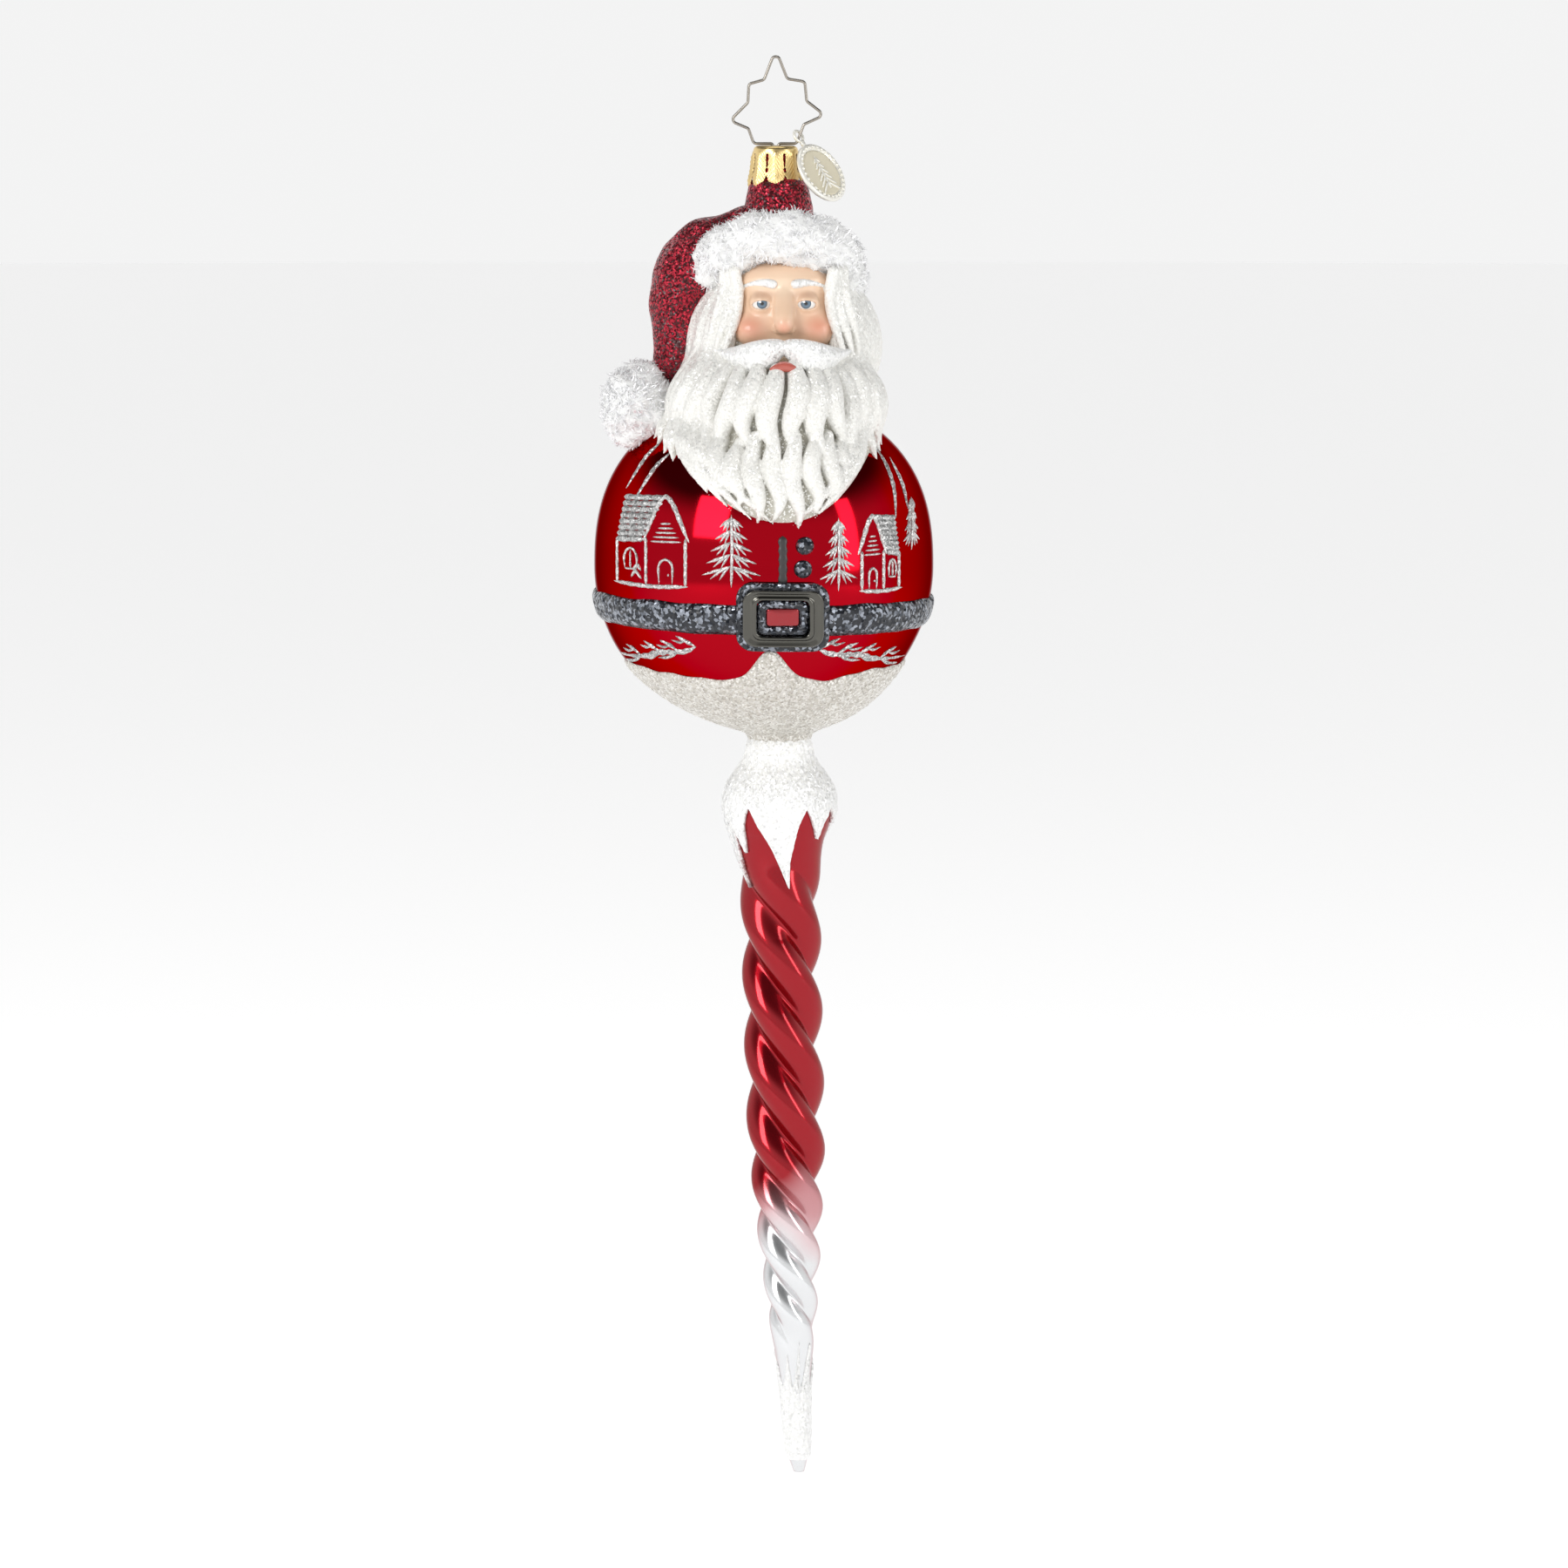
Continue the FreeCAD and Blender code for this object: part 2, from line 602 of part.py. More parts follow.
# ---------------------------------------------------------------- star hanger
# Bends of the star wire in the XZ plane, from the left leg to the right leg, by hand.
# The legs lie across the cap, dive through its middle hole and spread in the neck.
STAR_ROUTE = [(-3.0, -27.6), (-2.0, -21.6), (-0.55, -19.9), (-0.55, -18.4), (-4.75, -18.42),
              (-5.9, -15.2), (-9.9, -13.5), (-6.0, -9.6), (-5.8, -5.6), (-2.5, -4.7),
              (0.0, 1.85),
              (2.5, -4.5), (6.3, -5.1), (6.7, -9.3), (10.6, -12.3), (6.1, -14.3),
              (4.55, -18.42), (0.55, -18.4), (0.55, -19.9), (2.0, -21.6), (3.0, -27.6)]


def bent_wire(route, radius, bend):
    """A round wire through the route: straight runs joined by tangent arcs."""
    points = [Vector(x, 0, z) for x, z in route]
    edges = []
    start = points[0]
    for before, corner, after in zip(points, points[1:], points[2:]):
        to_start = (before - corner).normalize()
        to_end = (after - corner).normalize()
        half = to_start.getAngle(to_end) / 2
        reach = min(bend / math.tan(half), 0.45 * (before - corner).Length,
                    0.45 * (after - corner).Length)
        arc_start = corner + to_start * reach
        arc_end = corner + to_end * reach
        middle_dir = (to_start + to_end).normalize()
        arc_radius = reach * math.tan(half)
        middle = corner + middle_dir * (arc_radius / math.sin(half) - arc_radius)
        edges.append(Part.LineSegment(start, arc_start).toShape())
        edges.append(Part.Arc(arc_start, middle, arc_end).toShape())
        start = arc_end
    edges.append(Part.LineSegment(start, points[-1]).toShape())
    path = Part.Wire(edges)
    first = (points[1] - points[0]).normalize()
    section = Part.Wire(Part.makeCircle(radius, points[0], first))
    sweep = Part.BRepOffsetAPI.MakePipeShell(path)
    sweep.setBiNormalMode(Vector(0, 1, 0))
    sweep.add(section)
    sweep.build()
    sweep.makeSolid()
    wire = sweep.shape()
    expected = math.pi * radius ** 2 * path.Length
    print(f"hanger wire: volume {wire.Volume:.2f} mm3, section times length {expected:.2f}")
    return wire


def build_hanger():
    wire = bent_wire(STAR_ROUTE, size("wire_radius"), size("wire_bend"))
    sub_part("star_hanger", feature("star_wire", wire))


# ---------------------------------------------------------------- charm
CHARM_PIVOT = Vector(4.95, 0.0, -16.9)
CHARM_FACE = Vector(0.67, -0.56, 0.487)


def build_charm():
    """Thin cast tag with a raised rim; its eyelet rides on the hanger's right leg."""
    face = Vector(CHARM_FACE).normalize()
    hang = Vector(0.473, -0.171, -0.860)
    hang = (hang - face * hang.dot(face)).normalize()
    side = face.cross(hang)
    radius, thick = size("charm_radius"), size("charm_thick")
    frame = FreeCAD.Matrix(hang.x, side.x, face.x, 0, hang.y, side.y, face.y, 0,
                           hang.z, side.z, face.z, 0, 0, 0, 0, 1)
    disc = Part.makeCylinder(radius, thick, Vector(size("charm_reach"), 0, 0.5 - thick / 2))
    recess = Part.makeCylinder(radius - 0.8, 0.3,
                               Vector(size("charm_reach"), 0, 0.5 + thick / 2 - 0.25))
    eyelet = Part.makeTorus(size("eyelet_ring"), size("eyelet_wire"))
    stem = Part.makeBox(1.6, 1.0, 0.6, Vector(size("eyelet_ring"), -0.5, -0.1))
    shape = disc.cut(recess).fuse(eyelet).fuse(stem).removeSplitter()
    turned = shape.transformGeometry(frame)
    turned.translate(CHARM_PIVOT)
    sub_part("charm_disc", feature("charm_form", turned))


# ---------------------------------------------------------------- build and write
def main():
    build_figure_glass()
    figure = DOC.getObject("figure_outside")
    DOC.recompute()
    build_hat_parts(figure)
    build_moustache(figure)
    build_belt(figure)
    build_buckle()
    build_hem(figure)
    ball = ball_form("ball_plain", "0")
    line_form = ball_form("line_layer", "sizes.line_height")
    DOC.recompute()
    build_buttons(ball.Shape)
    build_lines(ball.Shape, line_form.Shape)
    build_icicle_glass()
    build_snow_coat()
    build_tip_frost()
    build_cap()
    build_hanger()
    build_charm()
    DOC.recompute()

    for obj in DOC.Objects:
        if "Invalid" in obj.State or "Error" in obj.State:
            raise RuntimeError(f"{obj.Name} failed: {obj.State}")
    for node, obj in PARTS.items():
        if obj.Shape.isNull() or not obj.Shape.isValid():
            raise RuntimeError(f"{node} has no valid shape")

    os.makedirs("parts", exist_ok=True)
    for node, obj in PARTS.items():
        obj.Shape.exportStep(os.path.join("parts", f"{node}.step"))
        box = obj.Shape.BoundBox
        print(f"{node}: {len(obj.Shape.Solids)} solid(s), {obj.Shape.Volume:.1f} mm3, "
              f"z {box.ZMin:.1f} to {box.ZMax:.1f}")


main()
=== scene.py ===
import math
import bpy
import numpy as np
import openvdb
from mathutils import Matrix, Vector


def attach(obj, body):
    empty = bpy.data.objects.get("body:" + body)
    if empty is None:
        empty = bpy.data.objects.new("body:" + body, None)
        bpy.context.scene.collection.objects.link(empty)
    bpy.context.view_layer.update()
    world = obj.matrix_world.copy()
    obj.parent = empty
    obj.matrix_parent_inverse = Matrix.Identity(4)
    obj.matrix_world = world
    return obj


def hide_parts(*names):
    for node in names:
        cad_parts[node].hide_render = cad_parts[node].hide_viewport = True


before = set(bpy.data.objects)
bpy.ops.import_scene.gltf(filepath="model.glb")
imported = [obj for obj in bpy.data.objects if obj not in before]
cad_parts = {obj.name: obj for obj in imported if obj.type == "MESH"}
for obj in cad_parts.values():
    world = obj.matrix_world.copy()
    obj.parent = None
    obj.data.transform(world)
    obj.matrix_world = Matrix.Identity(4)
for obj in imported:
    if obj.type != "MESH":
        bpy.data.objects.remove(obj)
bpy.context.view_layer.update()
rng = np.random.default_rng(11)
MM = 0.001


# ---- meshes (all shapes below are in mm)
class Builder:
    """Collects closed shells into one mesh."""

    def __init__(self):
        self.points, self.faces, self.total = [], [], 0

    def add(self, points, faces):
        points = np.asarray(points, float).reshape(-1, 3)
        self.faces += [tuple(int(i) + self.total for i in face) for face in faces]
        self.points.append(points)
        self.total += len(points)
        return self

    def rings(self, rings, loop=False):
        """Skin over cross-sections; loop joins the last to the first, otherwise both ends are capped."""
        rings = np.asarray(rings, float)
        count, around = rings.shape[:2]
        this = np.arange(count if loop else count - 1)[:, None] * around
        following = (this + around) % (count * around)
        n = np.arange(around)
        m = (n + 1) % around
        faces = np.stack([this + n, this + m, following + m, following + n], -1).reshape(-1, 4).tolist()
        if not loop:
            faces.append(list(range(around))[::-1])
            faces.append(list(range((count - 1) * around, count * around)))
        return self.add(rings, faces)

    def sheet(self, outer, inner, keep=None):
        """Closed shell between two grids whose rows go right round; keep says which cells are there."""
        rows, columns = outer.shape[:2]
        keep = np.ones((rows - 1, columns), bool) if keep is None else keep
        k, n = np.nonzero(keep)
        m = (n + 1) % columns
        this, following = k * columns, (k + 1) * columns
        size = rows * columns
        top = np.stack([this + n, this + m, following + m, following + n], -1)
        faces = [top, top[:, ::-1] + size]
        for step_k, step_n, first, last in ((-1, 0, 0, 1), (0, 1, 1, 2), (1, 0, 2, 3), (0, -1, 3, 0)):
            kk, nn = k + step_k, (n + step_n) % columns
            inside = (kk >= 0) & (kk < rows - 1)
            open_edge = ~inside
            open_edge[inside] = ~keep[kk[inside], nn[inside]]
            a, b = top[open_edge, first], top[open_edge, last]
            faces.append(np.stack([b, a, a + size, b + size], -1))
        faces = np.concatenate(faces)
        points = np.concatenate([outer.reshape(-1, 3), inner.reshape(-1, 3)])
        used = np.unique(faces)
        index = np.zeros(len(points), int)
        index[used] = np.arange(len(used))
        return self.add(points[used], index[faces].tolist())

    def arrays(self):
        return np.concatenate(self.points), self.faces


def scene_object(name, data):
    obj = bpy.data.objects.new(name, data)
    bpy.context.scene.collection.objects.link(obj)
    return obj


def mesh_object(name, points, faces, material):
    mesh = bpy.data.meshes.new(name)
    mesh.from_pydata(points, [], faces)
    mesh.materials.append(material)
    return scene_object(name, mesh)


def piece(name, shape, material, nodes=(), body="glass", smooth=True, colours=None):
    """An object in the scene that stands for CAD nodes and moves with a body."""
    points, faces = shape.arrays() if isinstance(shape, Builder) else shape
    obj = mesh_object(name, (np.asarray(points) * MM).tolist(), faces, material)
    mesh = obj.data
    if smooth:
        mesh.polygons.foreach_set("use_smooth", [True] * len(mesh.polygons))
    if colours is not None:
        layer = mesh.color_attributes.new("paint", "FLOAT_COLOR", "POINT")
        rgba = np.ones((len(points), 4), np.float32)
        rgba[:, :3] = colours
        layer.data.foreach_set("color", rgba.ravel())
    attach(obj, body)
    if nodes:
        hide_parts(*nodes)


def waves(points, length, seed, count=7):
    """Soft bumpy pattern between about -1 and 1 with the given wave length."""
    source = np.random.default_rng(seed)
    total = np.zeros(points.shape[:-1])
    for _ in range(count):
        direction = source.normal(size=3)
        direction /= np.linalg.norm(direction)
        total += np.sin(points @ direction * 2 * math.pi / (length * source.uniform(0.7, 1.4))
                        + source.uniform(0, 6.28))
    return total / math.sqrt(count)


def unit(v):
    return v / np.maximum(np.linalg.norm(v, axis=-1, keepdims=True), 1e-9)


def full_turn(count):
    return np.linspace(0, 2 * math.pi, count, endpoint=False)


def round_axis(radius, angle, z, middle=0.0):
    """Point at a radius and compass angle (0 is the front) round an upright axis at x = middle."""
    radius, angle, z = np.broadcast_arrays(radius, angle, z)
    return np.stack([middle + radius * np.sin(angle), -radius * np.cos(angle), z], -1)


def curve(knots, count):
    """Smooth line through the knots (Catmull-Rom)."""
    knots = np.asarray(knots, float)
    padded = np.vstack([2 * knots[0] - knots[1], knots, 2 * knots[-1] - knots[-2]])
    spans = len(knots) - 1
    t = np.linspace(0, spans, count)
    k = np.minimum(t.astype(int), spans - 1)
    f = (t - k)[:, None]
    p0, p1, p2, p3 = (padded[k + i] for i in range(4))
    return 0.5 * (2 * p1 + (p2 - p0) * f + (2 * p0 - 5 * p1 + 4 * p2 - p3) * f ** 2
                  + (3 * p1 - p0 - 3 * p2 + p3) * f ** 3)


# ---- distance fields for modelled forms
class Field:
    """A box of signed distances (mm) that balls and strands are melted into."""

    def __init__(self, low, high, step):
        self.low, self.step = np.array(low, float), step
        self.count = np.ceil((np.array(high, float) - self.low) / step).astype(int) + 1
        self.d = np.full(self.count, 5.0, np.float32)
        self.axes = [(self.low[k] + step * np.arange(self.count[k])).astype(np.float32) for k in range(3)]

    def window(self, low, high):
        a = np.clip(np.floor((np.asarray(low) - self.low) / self.step).astype(int), 0, self.count)
        b = np.clip(np.ceil((np.asarray(high) - self.low) / self.step).astype(int) + 1, a, self.count)
        cut = tuple(map(slice, a, b))
        spots = [axis[part] for axis, part in zip(self.axes, cut)]
        return cut, np.meshgrid(*spots, indexing="ij", sparse=True)

    def blend(self, cut, new, soft, sign=1):
        """Melts a form in, or with sign -1 takes it away."""
        old = sign * self.d[cut]
        h = np.clip(0.5 + 0.5 * (old - new) / soft, 0, 1)
        self.d[cut] = sign * (old + (new - old) * h - soft * h * (1 - h))

    def ball(self, centre, radii, soft=0.3, carve=False):
        centre = np.asarray(centre, float)
        radii = np.broadcast_to(np.asarray(radii, float), 3)
        reach = radii + 2.0 + soft
        cut, spots = self.window(centre - reach, centre + reach)
        scaled = np.sqrt(sum(((v - c) / r) ** 2 for v, c, r in zip(spots, centre, radii)))
        self.blend(cut, ((scaled - 1) * radii.min()).astype(np.float32), soft, -1 if carve else 1)

    def chain(self, points, radii, soft=0.3):
        """A tapered strand through the points."""
        for a, b, ra, rb in zip(points, points[1:], radii, radii[1:]):
            reach = max(ra, rb) + 1.2 + soft
            cut, spots = self.window(np.minimum(a, b) - reach, np.maximum(a, b) + reach)
            ab = b - a
            along = sum((v - p) * d for v, p, d in zip(spots, a, ab)) / max(ab @ ab, 1e-9)
            h = np.clip(along, 0, 1)
            away = np.sqrt(sum((v - p - h * d) ** 2 for v, p, d in zip(spots, a, ab)))
            self.blend(cut, (away - ra - h * (rb - ra)).astype(np.float32), soft)

    def skin(self):
        grid = openvdb.FloatGrid(5.0)
        grid.copyFromArray(self.d)
        points, quads = grid.convertToQuads(isovalue=0.0)
        points = points * self.step + self.low
        a, b, c = (points[quads[:, k]] for k in (0, 1, 2))
        if (np.einsum("ij,ij->i", np.cross(b - a, c - a), a - points.mean(0))).sum() < 0:
            quads = quads[:, ::-1]
        return points, quads.tolist()


# ---- finishes
def fill(node, values):
    for socket, value in values.items():
        node.inputs[socket].default_value = value


def add_node(tree, kind, values=None, **settings):
    """A new shader node with its settings, then the values of its inputs."""
    node = tree.nodes.new("ShaderNode" + kind)
    for name, value in settings.items():
        setattr(node, name, value)
    fill(node, values or {})
    return node


def join(tree, *links):
    """Each link is a node and its output, then a node and its input."""
    for start, out, end, into in links:
        tree.links.new(start.outputs[out], end.inputs[into])


def shader(name):
    material = bpy.data.materials.new(name)
    material.use_nodes = True
    return material, material.node_tree, material.node_tree.nodes["Principled BSDF"]


def paint(name, colour, metallic=0.0, rough=0.5, coat=0.0, sheen=0.0, attribute=False, bump=None, edge=None):
    """Even paint or metal; attribute takes the colour from the mesh, bump is (size mm, strength)."""
    material, tree, surface = shader(name)
    fill(surface, {"Base Color": (*colour, 1), "Metallic": metallic, "Roughness": rough,
                   "Coat Weight": coat, "Coat Roughness": 0.04, "Sheen Weight": sheen})
    if edge:
        fill(surface, {"Specular Tint": (*edge, 1)})
    if attribute:
        source = add_node(tree, "Attribute", attribute_name="paint")
        join(tree, (source, "Color", surface, "Base Color"))
    if bump:
        coords = add_node(tree, "TexCoord")
        noise = add_node(tree, "TexNoise", {"Scale": 1 / (bump[0] * MM)})
        lift = add_node(tree, "Bump", {"Strength": bump[1], "Distance": 0.2 * MM})
        join(tree, (coords, "Object", noise, "Vector"), (noise, "Fac", lift, "Height"),
             (lift, "Normal", surface, "Normal"))
    return material


def glitter(name, ground, dull, bright, flake, share=0.75, tilt=0.9, rough=0.28, metallic=0.8,
            attribute=False):
    """Flakes in clear glue: every cell of the pattern leans its own way and has its own tone."""
    material, tree, surface = shader(name)
    coords = add_node(tree, "TexCoord")
    cells = add_node(tree, "TexVoronoi", {"Scale": 1 / (flake * MM)})
    split = add_node(tree, "SeparateColor")
    centre = add_node(tree, "VectorMath", {1: (0.5, 0.5, 0.5)}, operation="SUBTRACT")
    scaled = add_node(tree, "VectorMath", {"Scale": tilt}, operation="SCALE")
    geometry = add_node(tree, "NewGeometry")
    add = add_node(tree, "VectorMath")
    level = add_node(tree, "VectorMath", operation="NORMALIZE")
    tone = add_node(tree, "Mix", {"A": (*dull, 1), "B": (*bright, 1)}, data_type="RGBA")
    is_flake = add_node(tree, "Math", {1: share}, operation="LESS_THAN")
    whole = add_node(tree, "Mix", {"A": (*ground, 1)}, data_type="RGBA")
    metal = add_node(tree, "Math", {1: metallic}, operation="MULTIPLY")
    if attribute:
        source = add_node(tree, "Attribute", attribute_name="paint")
        join(tree, (source, "Color", whole, "A"))
    join(tree, (coords, "Object", cells, "Vector"), (cells, "Color", split, "Color"),
         (cells, "Color", centre, 0), (centre, "Vector", scaled, 0),
         (geometry, "Normal", add, 0), (scaled, "Vector", add, 1),
         (add, "Vector", level, 0), (level, "Vector", surface, "Normal"),
         (split, "Green", tone, "Factor"), (split, "Blue", is_flake, 0),
         (is_flake, "Value", whole, "Factor"), (tone, "Result", whole, "B"),
         (whole, "Result", surface, "Base Color"), (is_flake, "Value", metal, 0),
         (metal, "Value", surface, "Metallic"))
    fill(surface, {"Roughness": rough})
    return material


# Paints: colour and the shader's values. Glitters: glue, dullest and brightest flake, flake size in mm.
RED_MIRROR = paint("red_mirror", (0.38, 0.003, 0.010), metallic=1.0, rough=0.08, edge=(0.35, 0.02, 0.03))
NECK_RED = glitter("neck_red", (0.25, 0.0, 0.01), (0.3, 0.01, 0.02), (0.8, 0.05, 0.07), 0.4)
ICE = paint("silvered_ice", (0.5, 0.02, 0.03), metallic=0.85, rough=0.2, coat=0.5, attribute=True,
            edge=(0.6, 0.4, 0.4))
BURGUNDY = glitter("burgundy", (0.06, 0.001, 0.004), (0.05, 0.001, 0.005), (0.85, 0.05, 0.09), 0.36,
                   share=0.55, tilt=1.3)
FLOCK = paint("flock", (0.88, 0.88, 0.87), rough=0.85, sheen=0.4, bump=(0.5, 0.9))
SHARDS = paint("shards", (0.92, 0.92, 0.93), metallic=0.25, rough=0.3, coat=0.5)
SNOW = glitter("snow", (0.93, 0.93, 0.91), (0.85, 0.85, 0.84), (1.0, 1.0, 1.0), 0.4,
               share=0.6, metallic=0.3, rough=0.35)
IVORY = glitter("ivory", (0.56, 0.53, 0.47), (0.36, 0.33, 0.29), (1.0, 0.98, 0.93), 0.42,
                share=0.7, metallic=0.4, rough=0.35)
GUNMETAL = glitter("gunmetal", (0.012, 0.014, 0.02), (0.006, 0.008, 0.013), (0.50, 0.54, 0.62),
                   0.62, share=0.42, tilt=1.1)
SILVER = glitter("silver", (0.30, 0.30, 0.30), (0.2, 0.2, 0.2), (0.98, 0.98, 0.97), 0.38, metallic=0.85)
LINE = glitter("line_white", (0.55, 0.53, 0.52), (0.35, 0.34, 0.34), (1.0, 0.99, 0.97), 0.36, metallic=0.75)
PEWTER = paint("pewter", (0.075, 0.072, 0.06), metallic=1.0, rough=0.14, coat=0.8)
DARK = paint("dark_paint", (0.06, 0.055, 0.055), metallic=0.5, rough=0.35)
RED_CORE = paint("red_core", (0.30, 0.006, 0.012), metallic=0.9, rough=0.15, coat=1.0)
GOLD = paint("gold", (0.88, 0.66, 0.30), metallic=1.0, rough=0.3)
WIRE = paint("wire", (0.36, 0.33, 0.29), metallic=1.0, rough=0.3)
TAG = paint("tag", (0.90, 0.88, 0.80), metallic=0.25, rough=0.28, coat=0.5)
TAG_RECESS = paint("tag_recess", (0.80, 0.74, 0.57), metallic=0.1, rough=0.35)
LIP = paint("lip", (0.5, 0.12, 0.09), rough=0.3, coat=0.4)
SKIN = paint("skin", (0.7, 0.42, 0.28), rough=0.34, coat=0.35, attribute=True)
HAIR = glitter("hair", (0.8, 0.8, 0.76), (0.86, 0.86, 0.83), (1.0, 1.0, 0.97), 0.3, share=0.22,
               metallic=0.5, rough=0.33, tilt=0.7, attribute=True)
EYE = paint("eye", (1, 1, 1), rough=0.12, coat=1.0, attribute=True)

# ---- round body
BALL = np.array([-2.6, 0.0, -109.9])
BALL_WIDE, BALL_HIGH = 37.0, 36.2
LOWER_X, LIP_Z = 0.8, -148.0
NECK_PROFILE = ((-19.9, 3.9), (-20.2, 4.3), (-26.5, 4.9), (-30, 6.0), (-36, 7.0))   # height, radius


def body_radius(z):
    """The round body's radius at a height: full shoulders, plain round below."""
    rise = np.clip((np.asarray(z, float) - BALL[2]) / BALL_HIGH, -1, 1)
    power = np.where(rise > 0, 2.4, 2.0)
    return BALL_WIDE * (1 - np.abs(rise) ** power) ** (1 / power)


def on_ball(x, z, lift=0.0):
    """Point of the body's front above a place given by x and z."""
    x, z = np.asarray(x, float), np.asarray(z, float)
    p = np.stack([x, -np.sqrt(np.clip(body_radius(z) ** 2 - (x - BALL[0]) ** 2, 0, None)), z], -1)
    return p + np.asarray(lift)[..., None] * ball_normal(p)


def ball_normal(p):
    return unit((p - BALL) / np.array([BALL_WIDE ** 2, BALL_WIDE ** 2, BALL_HIGH ** 2]))


def body_ring(z, azimuth, lift=0.0):
    """Point of the whole blown body (ball, then lower neck) at a height and compass angle."""
    z, azimuth = np.broadcast_arrays(np.asarray(z, float), np.asarray(azimuth, float))
    round_part = body_radius(z)
    neck = 6.4 + 0.9 * np.exp(-((z + 145.6) / 1.6) ** 2)        # a bead above the lip
    soft = 2.0
    radius = np.where(z < -138, soft * np.logaddexp(round_part / soft, neck / soft), round_part)
    mix = np.clip((z + 126) / -20.0, 0, 1) ** 2                 # the neck sits a little to one side
    x0 = BALL[0] + (LOWER_X - BALL[0]) * mix
    return round_axis(np.maximum(radius, 0.4) + lift, azimuth, z, x0)


def build_body():
    heights = BALL[2] + BALL_HIGH * np.cos(np.linspace(0.02, math.pi * 0.93, 130))
    heights = np.concatenate([heights[heights > LIP_Z + 3], np.linspace(LIP_Z + 3, LIP_Z, 14)])
    shape = Builder().rings([body_ring(z, full_turn(200)) for z in heights])
    piece("body_glass", shape, RED_MIRROR, ["figure_glass_shell"])
    neck = Builder().rings([round_axis(r, full_turn(64), z) for z, r in NECK_PROFILE])
    piece("neck_glass", neck, NECK_RED, ["figure_glass_shell"])


# ---- head: hair and beard
HEAD_X, HEAD_Y = 1.8, -4.0
HEAD_FORMS = np.array([  # x, y, z, radius: the blown head under the hair and beard
    (1.0, 1.0, -63.0, 20.0),
    (HEAD_X, HEAD_Y, -55.5, 14.5),
    (-8.0, -9.0, -76.0, 14.2),
    (8.6, -9.0, -76.0, 14.0),
    (0.8, -15.0, -79.0, 17.0),
    (1.8, -22.5, -87.0, 12.5)])
FACE_FORM = 1                                            # the row behind the face


def beard_foot(x):
    """Lower outline of the beard."""
    away = np.asarray(x) - 2.0
    return -100.0 + np.where(away < 0, 0.0255 * away ** 2, 0.033 * away ** 2 + 0.000028 * away ** 4)


def bib(x, z):
    """How far the beard stands off the round body at a place of its front."""
    inside = np.clip((z - beard_foot(x) - 0.9) / 9.0, 0, 1)
    return 3.4 * np.sqrt(inside * (2 - inside)) - 0.6


def draped(azimuth, z, lift=0.0):
    """Where a level line from the head's middle leaves the head (azimuth in degrees, 0 is the front)."""
    a = np.radians(azimuth)
    z, a = np.broadcast_arrays(np.asarray(z, float), a)
    dx, dy = np.sin(a), -np.cos(a)
    reach = np.zeros(z.shape)
    for x, y, height, radius in (*HEAD_FORMS, (*BALL, None)):
        is_body = radius is None
        level = body_radius(z) ** 2 - 0.01 if is_body else radius ** 2 - (z - height) ** 2
        ox, oy = HEAD_X - x, HEAD_Y - y
        along = ox * dx + oy * dy
        hit = along ** 2 - (ox ** 2 + oy ** 2 - level)
        t = np.where((level > 0) & (hit > 0), -along + np.sqrt(np.maximum(hit, 0)), 0)
        if is_body:
            t = t + np.where(t > 0, np.maximum(bib(HEAD_X + t * dx, z), 0), 0)
        reach = np.maximum(reach, t)
    reach = reach + lift
    return np.stack([HEAD_X + reach * dx, HEAD_Y + reach * dy, z], -1)


def smoothed(path, passes=2):
    for _ in range(passes):
        path = np.vstack([path[:1], (path[:-2] + 2 * path[1:-1] + path[2:]) / 4, path[-1:]])
    return path


def lock(field, azimuth, root, tip, lean, wave, phase, radius, strands=1, lift=0.0, cycles=1.0, blunt=2.2):
    """A wavy lock of strands, from its root height down to a point."""
    u = np.linspace(0, 1, 19)
    for s in range(strands):
        side = s - (strands - 1) / 2
        swing = wave * np.sin(2 * math.pi * cycles * u + phase) * np.clip(0.35 + u, 0, 1)
        a = azimuth + lean * u + swing + side * 2.6 * radius * (1 - 0.5 * u ** 1.5)
        z = root + (tip + 0.9 * abs(side) - root) * u
        body = (0.55 + 0.45 * np.sin(math.pi * np.clip(u * 1.15, 0, 1))) * (1 - u ** blunt) + 0.12
        path = smoothed(draped(a, z, lift - 0.2 * abs(side) * radius))
        field.chain(path, radius * body, soft=0.22)


def flowing(field, side, start, bulge, end, root, radius, lift):
    """A long strand from under the brim, out over the cheek's side and in again to the beard's foot."""
    u = np.linspace(0, 1, 30)
    turns = [start, start + 9, bulge, bulge * 0.9 + end * 0.1, 0.5 * (bulge + end), end]
    a = side * curve(np.array(turns)[:, None], 30)[:, 0]
    a = a + side * 1.6 * np.sin(2 * math.pi * 2.2 * u + start)
    low = beard_foot(HEAD_X + 33 * math.sin(math.radians(side * end))) + 1.2
    z = root + (low - root) * u ** 0.9
    body = (0.7 + 0.3 * np.sin(math.pi * u)) * (1 - u ** 6) + 0.1
    field.chain(smoothed(draped(a, z, lift), 3), radius * body, soft=0.22)


